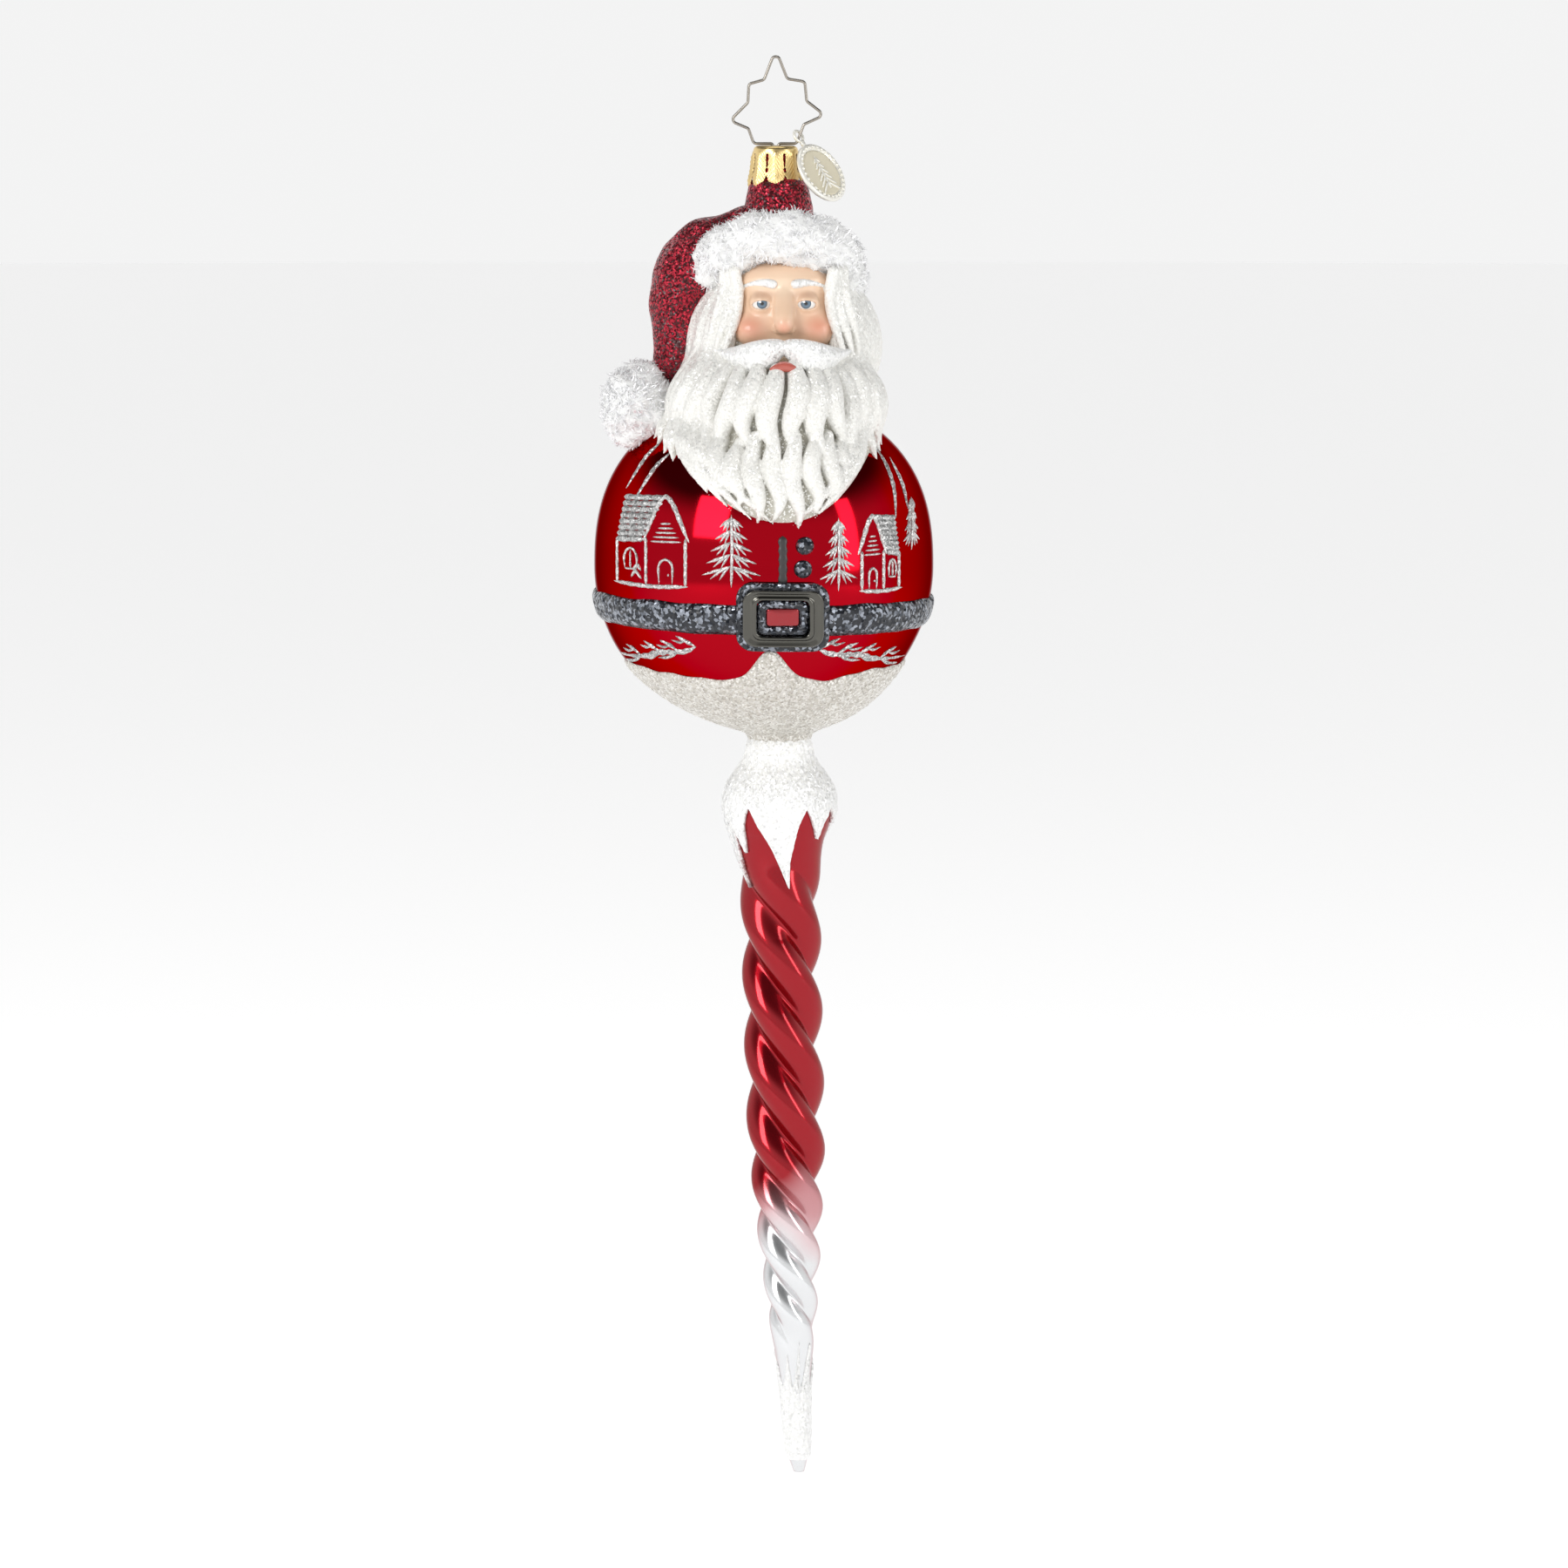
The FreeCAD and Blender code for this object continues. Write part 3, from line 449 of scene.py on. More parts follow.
def build_hair():
    field = Field((-29, -42, -104), (32, 27, -34), 0.39)
    for k, (x, y, z, radius) in enumerate(HEAD_FORMS):   # the ground between the locks lies lower
        field.ball((x, y, z), radius - (3.2 if k == FACE_FORM else 1.3), soft=2.0)
    cut, (x, y, z) = field.window((-28, -42, -103), (31, -6, -70))
    gap = np.sqrt((x - BALL[0]) ** 2 + y ** 2) - body_radius(z)
    field.blend(cut, np.maximum(gap - bib(x, z) + 1.0, -gap - 2.5).astype(np.float32) * 0.8, 1.0)
    for side in (-1, 1):                                 # long strands round the beard
        for k in range(9):
            flowing(field, side, 36 + 6.5 * k, 42 + 6.5 * k, 4 + 8.0 * k, -46.0, 1.5, 0.3 * (k % 2))
    for k in range(12):                                  # lower tier of the beard
        azimuth = -46 + 8.4 * k
        foot = beard_foot(HEAD_X + 33 * math.sin(math.radians(azimuth))) + 0.5 + 1.6 * (k % 2)
        lock(field, azimuth, -80.0 - 1.5 * (k % 2), foot, -0.14 * azimuth, 2.4, 2.4 + 0.5 * (k % 3), 1.95,
             lift=-0.2, blunt=5.0)
    for k in range(12):                                  # upper tier, over the lower one
        azimuth = -57 + 10.4 * k
        foot = -84.5 + 0.0012 * azimuth ** 2 - 2.2 * (k % 2)
        lock(field, azimuth, -65.4 - 0.8 * (k % 2), foot, 0.06 * azimuth, 3.3, 0.3 + 0.8 * (k % 3), 2.35,
             lift=0.2, blunt=3.5)
    for side in (-1, 1):                                 # hair that falls from under the brim
        for k in range(8):
            lock(field, side * (60 + 8 * k), -66.0, -86.0 + 1.4 * k, side * -7.0, 2.6,
                 1.0 + 1.1 * (k % 2), 2.1, lift=-0.3, blunt=5.0)
        for k in range(11):
            lock(field, side * (58 + 11.5 * k), -45.5, -77.5 + 1.6 * (k % 2), side * 4.0, 2.6,
                 1.2 + 2.2 * (k % 3), 1.75, strands=3, lift=0.5, cycles=1.6, blunt=5.0)
    field.ball((HEAD_X, -20.5, -54.6), FACE_ROOM, soft=0.8, carve=True)
    for side in (-1, 1):                                 # strands beside the face
        for k in range(3):
            u = np.linspace(0, 1, 14)
            x = HEAD_X + side * (10.6 + 1.5 * k + 1.6 * u ** 2
                                 - 0.9 * np.sin(math.pi * (u * 1.3 + 0.2 * k)))
            y = -15.4 + 1.4 * k - 2.0 * u + 0.6 * np.sin(5 * u + k)
            path = np.stack([x, y, -45.5 - 17.5 * u], -1)
            field.chain(path, 1.25 * (1 - 0.6 * u ** 3), soft=0.25)
    points, faces = field.skin()
    away = np.full(len(points), 9.0)
    for x, y, z, radius in HEAD_FORMS:
        away = np.minimum(away, np.linalg.norm(points - (x, y, z), axis=1) - radius)
    gap = np.linalg.norm((points - BALL)[:, :2], axis=1) - body_radius(points[:, 2])
    gap = gap - np.maximum(bib(points[:, 0], points[:, 2]), 0) * (points[:, 1] < -6)
    # painted shade: the hollows between the locks and the places where hair and beard meet the body are
    # coloured olive, the standing crests pearl
    crest = np.clip((np.minimum(away, gap) + 0.7) / 1.2, 0, 1)[:, None]
    pearl, olive_shade = np.array((0.88, 0.87, 0.83)), np.array((0.55, 0.53, 0.46))
    piece("hair_and_beard", (points, faces), HAIR, ["figure_glass_shell"],
          colours=olive_shade + (pearl - olive_shade) * crest ** 0.6)


# ---- head: face, a plain one of its own
# Its measures come from its own eye width: one eye between the eyes, five across the face.
EYE_WIDE = 4.7
EYE_APART, EYE_Z, EYE_Y, EYE_R = EYE_WIDE, -52.3, -15.6, 2.45
LID_OPEN = 0.2 * EYE_WIDE
FACE_ROOM = (2.5 * EYE_WIDE, 12.5, 9.6)                  # hollow in the hair, half sizes
FACE_Y, FACE_Z, FACE_SIZE, FACE_GRID = -4.5, -55.0, (13.6, 13.8, 14.5), 0.22


def build_face():
    field = Field((-15, -26, -70), (18, 0, -40), FACE_GRID)
    fx = HEAD_X
    field.ball((fx, FACE_Y, FACE_Z), FACE_SIZE)
    field.ball((fx, -12.5, -47.6), (9.5, 5.2, 3.4), soft=2.0)                  # forehead
    for side in (-1, 1):
        field.ball((fx + side * EYE_APART, -20.2, EYE_Z), (3.4, 3.2, 2.5), soft=1.4, carve=True)
        field.ball((fx + side * 6.4, -13.8, -58.2), (4.6, 4.6, 3.8), soft=1.8)   # cheek
    bridge = curve([(fx, -16.4, -49.5), (fx, -18.3, -53.0), (fx, -20.6, -56.6)], 9)
    field.chain(bridge, np.linspace(1.25, 1.75, 9), soft=1.3)
    field.ball((fx, -20.3, -57.0), (0.37 * EYE_WIDE, 1.9, 1.7), soft=0.8)      # tip of the nose
    for side in (-1, 1):
        field.ball((fx + side * 0.3 * EYE_WIDE, -18.9, -57.7), 0.23 * EYE_WIDE, soft=0.6)
        field.ball((fx + side * 0.95, -20.3, -59.3), 0.5, soft=0.3, carve=True)
        middle = np.array((fx + side * EYE_APART, EYE_Y, EYE_Z))
        lid = Field(middle - 4, middle + 4, FACE_GRID)
        lid.ball(middle, EYE_R + 0.38)
        lid.ball(middle + (0, -3.0, -0.25), (0.5 * EYE_WIDE, 4.0, LID_OPEN), soft=0.2, carve=True)
        start = np.round((lid.low - field.low) / FACE_GRID).astype(int)
        size = np.minimum(lid.count, field.count - start)
        cut = tuple(slice(a, a + n) for a, n in zip(start, size))
        field.blend(cut, lid.d[tuple(slice(n) for n in size)], 0.5)
    points, faces = field.skin()
    tan, blush, pale, crease_shade = np.array([(0.86, 0.60, 0.42), (0.80, 0.25, 0.16), (0.93, 0.76, 0.58),
                                         (0.5, 0.27, 0.17)])
    colours = np.tile(tan, (len(points), 1))

    def tint(centre, size, tone, amount):
        near = amount * np.exp(-(np.linalg.norm((points - centre) / size, axis=1)) ** 2)[:, None]
        return colours * (1 - near) + tone * near

    # painted highlight: the brow and the top of the nose are coloured paler
    colours = tint((fx, -18.0, -48.5), (6.5, 5, 2.6), pale, 0.6)
    for side in (-1, 1):
        colours = tint((fx + side * 7.2, -16.5, -57.5), (3.0, 4, 2.4), blush, 0.75)
        # painted shade: a darker brown in the crease over each eye
        colours = tint((fx + side * EYE_APART, -18, EYE_Z + 1.9), (2.8, 3, 0.9), crease_shade, 0.6)
    colours = tint((fx, -22.5, -57.4), (1.9, 2.5, 1.6), blush, 0.5)
    piece("face", (points, faces), SKIN, ["figure_glass_shell"], colours=colours)
    for side, name in ((-1, "right"), (1, "left")):
        build_eye(name, np.array((fx + side * EYE_APART, EYE_Y, EYE_Z)))
    brows = Field((-12, -26, -53), (16, -8, -43), 0.25)
    along = np.linspace(0, 1, 12)
    for side in (-1, 1):
        reach = EYE_WIDE * np.linspace(0.5, 1.85, 12)
        rise = EYE_Z + EYE_WIDE * (0.88 + 0.08 * np.sin(math.pi * along) - 0.12 * along ** 2)
        depth = FACE_Y - np.sqrt(FACE_SIZE[1] ** 2 - reach ** 2 * 1.02 - (rise - FACE_Z) ** 2) - 1.5
        path = np.stack([fx + side * reach, depth, rise], -1)
        brows.chain(path, 0.2 * EYE_WIDE * np.linspace(1.0, 0.3, 12), soft=0.4)
    piece("brows", brows.skin(), SNOW)
    lips = Field((-5, -32, -70), (9, -18, -60), 0.25)
    mouth = draped(np.linspace(-6.5, 6.5, 11), -65.6 + 0.25 * np.cos(np.linspace(-3, 3, 11)), 2.1)
    lips.chain(mouth, 0.95 * np.cos(np.linspace(-1.25, 1.25, 11)) + 0.1, soft=0.3)
    piece("lower_lip", lips.skin(), LIP)


def build_eye(name, centre):
    polar, turn = np.linspace(0.03, math.pi - 0.03, 60), full_turn(72)
    p, t = np.meshgrid(polar, turn, indexing="ij")
    points = np.stack([np.sin(p) * np.cos(t), -np.cos(p), np.sin(p) * np.sin(t)], -1)
    ball = Builder().rings(centre + EYE_R * points)
    radius = EYE_R * np.sin(p) + np.where(p > 1.5, 9, 0)         # from the pupil's middle, front only
    tone = np.full(points.shape, 0.82) * (1, 0.98, 0.95)
    iris = 0.21 * EYE_WIDE
    tone[radius < iris * 1.12] = (0.02, 0.03, 0.04)
    tone[radius < iris] = (0.10, 0.17, 0.24)
    tone[radius < iris * 0.45] = (0.004, 0.004, 0.004)
    glint = np.linalg.norm(points - unit(np.array((-0.17, -1, 0.16))), axis=-1) < 0.10
    tone[glint] = (1, 1, 1)
    piece(f"eye_{name}", ball, EYE, colours=tone.reshape(-1, 3))


def build_moustache():
    """Four thick strands to each side of the middle."""
    field = Field((-17, -34, -73), (20, -10, -57), 0.26)
    u = np.linspace(0, 1, 18)
    for side in (-1, 1):
        for s in range(4):
            high = 1.0 - s * 2 / 3
            x = HEAD_X + side * (0.9 + (13.4 - 0.7 * abs(s - 1)) * u)
            z = (-61.6 + 1.5 * high * np.sin(math.pi * np.clip(u * 0.85 + 0.15, 0, 1))
                 - 2.6 * np.sin(math.pi * 0.62 * u) + 1.6 * u ** 4)
            y = (-23.4 - 1.7 * np.sin(math.pi * np.clip(u * 1.2, 0, 1))
                 + 7.0 * u ** 2.2 - 0.3 * (1 - abs(high)))
            radius = 1.7 * np.sin(math.pi * np.clip(0.2 + u * 0.77, 0, 1)) ** 0.8 + 0.1
            field.chain(smoothed(np.stack([x, y, z], -1)), radius, soft=0.35)
    piece("moustache", field.skin(), SNOW, ["moustache_glitter"])


# ---- hat
# The hat's hollow line from crown to tail: x, y, z, radius.
HAT_LINE = [(-0.5, 1.0, -37.5, 7.5), (-7.0, 2.0, -42.5, 9.4), (-14.5, 0.5, -43.5, 8.6),
            (-19.2, -1.0, -47.0, 6.9), (-21.1, -2.0, -52.5, 5.6), (-21.0, -2.6, -58.0, 4.9),
            (-21.6, -3.0, -62.5, 4.0), (-23.4, -3.0, -67.0, 3.1)]
COLLAR = [(-26.4, 5.2), (-26.2, 5.7), (-27.3, 6.4), (-29.5, 6.9), (-32.4, 7.5), (-34.0, 7.6), (-34.0, 6.0)]
BRIM_CENTRE, BRIM_RING, BRIM_TUBE, BRIM_LEAN = np.array((0.5, -3.2, -46.2)), 13.7, 5.3, math.radians(36)
POMPOM, POMPOM_SIZE = np.array((-29.3, -3.0, -75.2)), np.array((8.3, 8.3, 9.4))


def build_hat():
    field = Field((-32, -18, -74), (18, 20, -28), 0.36)
    spans = len(HAT_LINE)
    line = curve([row[:3] for row in HAT_LINE], 22)
    radii = np.interp(np.linspace(0, spans - 1, 22), range(spans), [row[3] for row in HAT_LINE])
    field.chain(line, radii, soft=1.5)
    field.ball((1.0, 2.0, -48.0), (14.6, 15.2, 13.5), soft=3.0)
    points, faces = field.skin()
    points = np.asarray(points)
    points += unit(points - (-8, 0, -50)) * (0.28 * waves(points, 9.0, 5))[:, None]
    piece("hat", (points, faces), BURGUNDY, ["hat_glitter_coat"])
    turn = full_turn(90)
    collar = Builder().rings([round_axis(r, turn, z + 0.2 * np.sin(5 * turn + z), 0.6) for z, r in COLLAR])
    piece("collar", collar, BURGUNDY, ["neck_glitter_collar"])


def shards(points, normals, long, wide, lean):
    """Short pointed fibres that stand and lie on a surface, as closed slivers."""
    count = len(points)
    side = unit(np.cross(normals, rng.normal(size=(count, 3))))
    up = unit(normals * lean * rng.uniform(0.1, 1.0, (count, 1)) + side)
    across = unit(np.cross(up, normals))
    length = long * rng.uniform(0.5, 1.0, (count, 1))
    foot = points - normals * 0.15
    bend = unit(np.cross(across, up)) * rng.normal(0, 0.12, (count, 1)) * length
    half = wide * rng.uniform(0.6, 1.2, (count, 1))
    third = np.cross(up, across)
    middle = foot + up * length * 0.55 + bend
    verts = [base + step for base in (foot, middle)
             for step in (across * half, -across * half, third * half * 0.7)] + [foot + up * length]
    faces = np.array([(0, 2, 1), (0, 1, 4), (0, 4, 3), (1, 2, 5), (1, 5, 4), (2, 0, 3), (2, 3, 5),
                      (3, 4, 6), (4, 5, 6), (5, 3, 6)])
    start = (np.arange(count) * 7)[:, None, None]
    return Builder().add(np.stack(verts, 1), (faces[None] + start).reshape(-1, 3).tolist())


def brim_surface(ring, tube):
    """Points and outward directions of the lumpy brim."""
    ring, tube = np.broadcast_arrays(ring, tube)
    out = np.stack([np.sin(ring), -np.cos(ring), 0 * ring], -1)
    normal = np.cos(tube)[..., None] * out + np.sin(tube)[..., None] * np.array((0, 0, 1.0))
    flat = out * BRIM_RING + normal * BRIM_TUBE
    flat = flat + normal * (0.5 * waves(flat, 7.0, 3) + 0.22 * waves(flat, 2.6, 4))[..., None]
    c, s = math.cos(BRIM_LEAN), math.sin(BRIM_LEAN)
    turn = np.array([(1, 0, 0), (0, c, s), (0, -s, c)])
    return BRIM_CENTRE + flat @ turn.T, normal @ turn.T


def pompom_surface(polar, turn):
    way = np.stack([np.sin(polar) * np.cos(turn), np.sin(polar) * np.sin(turn), np.cos(polar)], -1)
    spot = way * POMPOM_SIZE
    bump = 0.45 * waves(spot, 5.0, 8) + 0.2 * waves(spot, 2.2, 9)
    return POMPOM + spot + way * bump[..., None], way


def flocked(name, node, surface, grid, loop, spots, long):
    """A lumpy coat with loose fibres on it."""
    points, _ = surface(*grid)
    piece(name, Builder().rings(points, loop=loop), FLOCK, [node])
    points, normals = surface(*spots)
    piece(name + "_fibres", shards(points, normals, long, 0.13, 0.8), SHARDS, [node], smooth=False)


def build_flock():
    count = 9000
    grid = np.meshgrid(full_turn(260), full_turn(84), indexing="ij")
    spots = rng.uniform(0, 6.283, count), rng.uniform(0, 6.283, count)
    flocked("brim", "hat_brim_flock", brim_surface, grid, True, spots, 2.3)
    count = 3600
    grid = np.meshgrid(np.linspace(0.02, math.pi - 0.02, 90), full_turn(120), indexing="ij")
    spots = np.arccos(rng.uniform(-1, 1, count)), rng.uniform(0, 6.283, count)
    flocked("pompom", "pompom_flock", pompom_surface, grid, False, spots, 2.2)


# ---- belt, buckle, buttons
BELT_MID, BELT_HIGH, BELT_TILT = -118.9, 6.5, math.radians(1.0)
BUCKLE = np.array((1.4, -117.8))


def belt_offset(x):
    """The belt runs down a little to one side."""
    return -math.tan(BELT_TILT) * (x - BALL[0])


def build_belt():
    turn = full_turn(360)
    span = np.linspace(-1, 1, 13)
    rows = []
    for s in span:
        edge = 0.16 * waves(np.stack([np.cos(turn) * 20, np.sin(turn) * 20, 0 * turn + s * 9], -1), 6.0, 12)
        z = BELT_MID + (BELT_HIGH / 2) * s + edge * abs(s) + belt_offset(BALL[0] + 36 * np.sin(turn))
        rows.append(body_ring(z, turn, 0.15 + 1.0 * (1 - s ** 4)))
    outer = np.array(rows[::-1])
    inner = outer - ball_normal(outer) * (0.35 + 1.0 * (1 - span[::-1] ** 4))[:, None, None]
    piece("belt", Builder().sheet(outer, inner), GUNMETAL, ["belt_glitter_band"])


def corner_box(wide, high, corner, count=96):
    """Points round a rectangle with round corners, in order."""
    turn = full_turn(count)
    x, z = np.cos(turn), np.sin(turn)
    grow = np.maximum(np.abs(x) / (wide / 2), np.abs(z) / (high / 2))
    box = np.stack([x, z], -1) / grow[:, None]
    inner = np.array((wide / 2 - corner, high / 2 - corner))
    over = np.maximum(np.abs(box) - inner, 0)
    length = np.linalg.norm(over, axis=1, keepdims=True)
    pull = np.where(length > corner, over * corner / np.maximum(length, 1e-9), over)
    return np.sign(box) * (np.minimum(np.abs(box), inner) + pull)


def bar_frame(outside, inside, corner_out, corner_in, low, top, rounding=0.35, dish=None):
    """A frame that hugs the body; dish gives its section over the top: share of the way in, height."""
    big, small = corner_box(*outside, corner_out), corner_box(*inside, corner_in)
    rings = []
    over = dish or [(0.12, top), (0.5, top + 0.12), (0.88, top)]
    for f, lift in [(0.0, low), (0.0, top - rounding)] + over + [(1.0, top - rounding), (1.0, low)]:
        flat = BUCKLE + big + (small - big) * f
        rings.append(on_ball(flat[:, 0], flat[:, 1] + belt_offset(flat[:, 0]), lift))
    rings = np.array(rings).transpose(1, 0, 2)
    return Builder().rings(rings[:, ::-1], loop=True)


def slab(outline, low, top, swell=0.3):
    """A filled pad on the body with a domed face."""
    middle = outline.mean(0)
    rings = []
    for f, lift in ((1.0, low), (1.0, top - swell), (0.94, top - swell * 0.4), (0.75, top), (0.4, top + 0.1),
                    (0.02, top + 0.12)):
        flat = middle + (outline - middle) * f
        rings.append(on_ball(flat[:, 0], flat[:, 1], lift))
    return Builder().rings(rings)


# The buckle's section from outside to inside: a raised rim, a hollow and a second rim.
BUCKLE_SECTION = [(0.05, 2.55), (0.14, 2.75), (0.24, 2.65), (0.40, 2.05),
                  (0.56, 1.95), (0.70, 2.3), (0.82, 2.55), (0.93, 2.4)]


def build_buckle():
    border = bar_frame((19.2, 14.4), (15.6, 10.8), 3.4, 2.4, 0.9, 1.75)
    frame_bar = bar_frame((16.4, 11.6), (10.6, 7.4), 2.6, 1.3, 0.9, 2.4, 0.3, BUCKLE_SECTION)
    inlay = bar_frame((10.4, 7.2), (6.9, 3.9), 1.4, 0.8, 0.8, 1.75)
    piece("buckle_border", border, GUNMETAL, ["buckle_glitter_border"])
    piece("buckle", frame_bar, PEWTER, ["buckle_frame"])
    piece("buckle_inlay", inlay, GUNMETAL, ["buckle_glitter_inlay"])
    piece("buckle_core", slab(BUCKLE + corner_box(6.8, 3.8, 0.7), 0.8, 1.6), RED_CORE)


BUTTONS, BUTTON_R = ((6.2, -103.0), (5.8, -107.9)), 1.9
BUTTON_DOME = ((1.0, -0.1), (1.0, 0.35), (0.9, 0.8), (0.65, 1.15), (0.3, 1.3), (0.02, 1.32))


def build_buttons():
    shape = Builder()
    turn = full_turn(40)
    for x, z in BUTTONS:
        shape.rings([on_ball(x + BUTTON_R * f * np.cos(turn), z + BUTTON_R * f * np.sin(turn), lift)
                     for f, lift in BUTTON_DOME])
    piece("buttons", shape, GUNMETAL, ["jacket_buttons"])


# ---- raised lines on the body
def stroke(shape, knots, width, height=0.45, taper=0.35, rough=0.12):
    """A hand-drawn line of glitter: half-round, thicker in the middle, uneven along its length."""
    knots = np.asarray(knots, float)
    length = np.linalg.norm(np.diff(knots, axis=0), axis=1).sum()
    count = int(max(8, length / 0.45))
    s = np.linspace(0, 1, count)
    flat = curve(knots, count) if len(knots) > 2 else knots[0] + (knots[1] - knots[0]) * s[:, None]
    centre = on_ball(flat[:, 0], flat[:, 1])
    normal = ball_normal(centre)
    along = unit(np.gradient(centre, axis=0))
    side = unit(np.cross(along, normal))
    ends = np.clip(np.minimum(s, 1 - s) / max(taper * 0.5, 0.02), 0, 1) ** 0.6
    swell = (0.12 + 0.88 * ends) * (1 + rough * np.sin(s * length * 3.1 + rng.uniform(0, 6)))
    half = 0.5 * width * swell
    rise = height * (0.2 + 0.8 * swell)
    rings = [centre + side * (half * math.cos(a))[:, None] + normal * (rise * math.sin(a) - 0.08)[:, None]
             for a in np.linspace(0, math.pi, 7)]
    for way in (-1, 1):                                  # the sunk foot
        rings.append(centre + way * side * (half * 0.5)[:, None] - normal * 0.25)
    shape.rings(np.array(rings).transpose(1, 0, 2))


def fir(shape, x, base, wide, high, tiers, width=0.75):
    """A fir of drooping feathered branches."""
    stroke(shape, [(x, base + high), (x + 0.15, base + high * 0.5), (x, base - 0.6)], width)
    for k in range(tiers):
        f = (k + 1) / tiers
        top = base + high * (1 - 0.86 * f) + 1.0
        reach = 0.5 * wide * (0.25 + 0.75 * f)
        for side in (-1, 1):
            for part, drop in ((1.0, 1.5), (0.72, 2.6), (0.42, 3.0)):
                knots = [(x + side * 0.2, top + 0.9), (x + side * reach * part * 0.55, top - 0.15 * drop),
                         (x + side * reach * part, top - drop * 0.75)]
                stroke(shape, knots, width * (0.65 + 0.35 * part), taper=0.9)


def arch(shape, x, z, half, shoulder, top, width):
    """A window or door with a round head."""
    outline = ((-half, 0), (-half, shoulder), (0, top), (half, shoulder), (half, 0))
    stroke(shape, [(x + dx, z + dz) for dx, dz in outline], width)


def house(shape, roof_shape, x, base, wide, high, facing):
    """A log house: gable wall to one side, the long wall with its roof to the other."""
    eaves, ridge = base + 0.55 * high, base + high
    gable, far = x - facing * wide * 0.5, x + facing * wide * 0.5
    corner = x + facing * wide * 0.06
    peak = (gable + corner) / 2
    roof_end = far - facing * wide * 0.12
    for f in np.linspace(0, 1, 8):
        stroke(roof_shape, [(peak + (corner - peak + facing * 0.6) * f, ridge + (eaves - 0.5 - ridge) * f),
                            (roof_end + (far - roof_end) * f, ridge - 0.4 + (eaves - 0.6 - ridge) * f)],
               1.35, 0.5, taper=0.12)
    stroke(shape, [(gable - facing * 0.8, eaves - 0.8), (peak, ridge + 0.2),
                   (corner + facing * 0.7, eaves - 1.0)], 1.15)
    for wall, top in ((gable, eaves), (corner, eaves), (far - facing * 0.4, eaves - 0.6)):
        stroke(shape, [(wall, top), (wall, base)], 0.85, taper=0.15)
    stroke(shape, [(gable - facing * 0.5, base), (x, base - 0.3), (far + facing * 0.4, base + 0.1)], 1.0)
    for k in range(5):                                   # logs of the gable
        z = eaves - 0.9 + k * 0.95
        half = abs(corner - gable) * 0.40 * (1 - k / 6)
        stroke(shape, [(peak - half, z), (peak + half, z + 0.1)], 0.5, 0.3)
    w = wide * 0.085                                     # arched window
    wx, wz = (corner + far) / 2, base + high * 0.17
    arch(shape, wx, wz, w, high * 0.16, high * 0.24, 0.55)
    stroke(shape, [(wx - w, wz), (wx + w, wz)], 0.5)
    stroke(shape, [(wx, wz), (wx, wz + high * 0.22)], 0.4)
    dx, dz = peak, base + 0.2                            # door
    arch(shape, dx, dz, w * 1.1, high * 0.22, high * 0.29, 0.6)
    stroke(shape, [(dx + w * 0.45, dz + high * 0.1), (dx + w * 0.5, dz + high * 0.13)], 0.45)


def branch(shape, x, z, long, side):
    """A bare bough with forked twigs, thick at its root."""
    spine = [(x + side * long * f, z + up)
             for f, up in ((-0.5, 2.2), (-0.28, 0.9), (-0.05, 0.5), (0.2, -0.9), (0.5, -1.3))]
    stroke(shape, spine, 1.5, 0.5, taper=0.9, rough=0.25)
    for k, (px, pz) in enumerate(spine[:4]):
        reach = long * (0.26 - 0.02 * k)
        for width, rough, twig in (
                (1.05, 0.2, ((0, 0), (0.5, 1.2 + 0.3 * (k % 2)), (1, 2.3))),
                (0.9, 0.2, ((0, 0), (0.5, -1.3), (1.1, -1.7))),
                (0.7, 0.12, ((0.5, 1.2), (0.8, 0.9), (1.2, 1.3)))):
            stroke(shape, [(px + side * reach * f, pz + up) for f, up in twig], width, taper=0.9, rough=rough)


def build_lines():
    houses, roofs, firs, boughs, arms = (Builder() for _ in range(5))
    house(houses, roofs, -26.8, -111.9, 15.2, 18.6, -1)
    house(houses, roofs, 22.6, -113.0, 8.4, 15.5, 1)
    for knots in ([(-31, -110.6), (-30, -109.2), (-28.7, -110.8)],
                  [(-30.5, -108.9), (-29.6, -107.8), (-28.8, -109)]):
        stroke(houses, knots, 0.8)
    piece("house_lines", houses, LINE, ["house_glitter_lines"])
    piece("house_roofs", roofs, SILVER, ["house_glitter_lines"])
    fir(firs, -9.4, -111.2, 12.6, 14.8, 5)
    fir(firs, 13.4, -112.2, 8.0, 15.0, 5, 0.7)
    fir(firs, 29.2, -104.5, 3.6, 10.5, 4, 0.6)
    piece("fir_lines", firs, LINE, ["tree_glitter_lines"])
    branch(boughs, -25.5, -127.2, 17.0, -1)
    branch(boughs, 18.5, -127.6, 19.0, 1)
    piece("bough_lines", boughs, SILVER, ["branch_glitter_lines"])
    for knots in ([(-32.2, -92.0), (-28.0, -85.5), (-24.6, -82.0)],
                  [(-30.5, -94.5), (-26.0, -87.5), (-22.5, -84.0)],
                  [(21.0, -82.5), (23.8, -87.0), (25.4, -92.0), (25.8, -98.0)],
                  [(24.6, -85.5), (27.2, -91.0), (28.4, -96.0)]):
        stroke(arms, knots, 1.3, taper=0.8)
    piece("sleeve_lines", arms, SILVER, ["sleeve_glitter_lines"])
    placket = Builder()
    stroke(placket, [(1.5, -100.8), (1.6, -106.0), (1.5, -111.9)], 1.9, 0.4, taper=0.1)
    piece("placket", placket, DARK, ["placket_glitter_strip"])


# ---- snow coats
def coat_profile(run, thick, bead):
    """Thickness of a coat over its run from one edge (0) to the other (1)."""
    return thick * np.clip(np.minimum(run, 1 - run) / bead, 0, 1) ** 0.5


HEM_TOP, HEM_PEAK, HEM_PEAK_X = -131.2, 6.5, 2.0


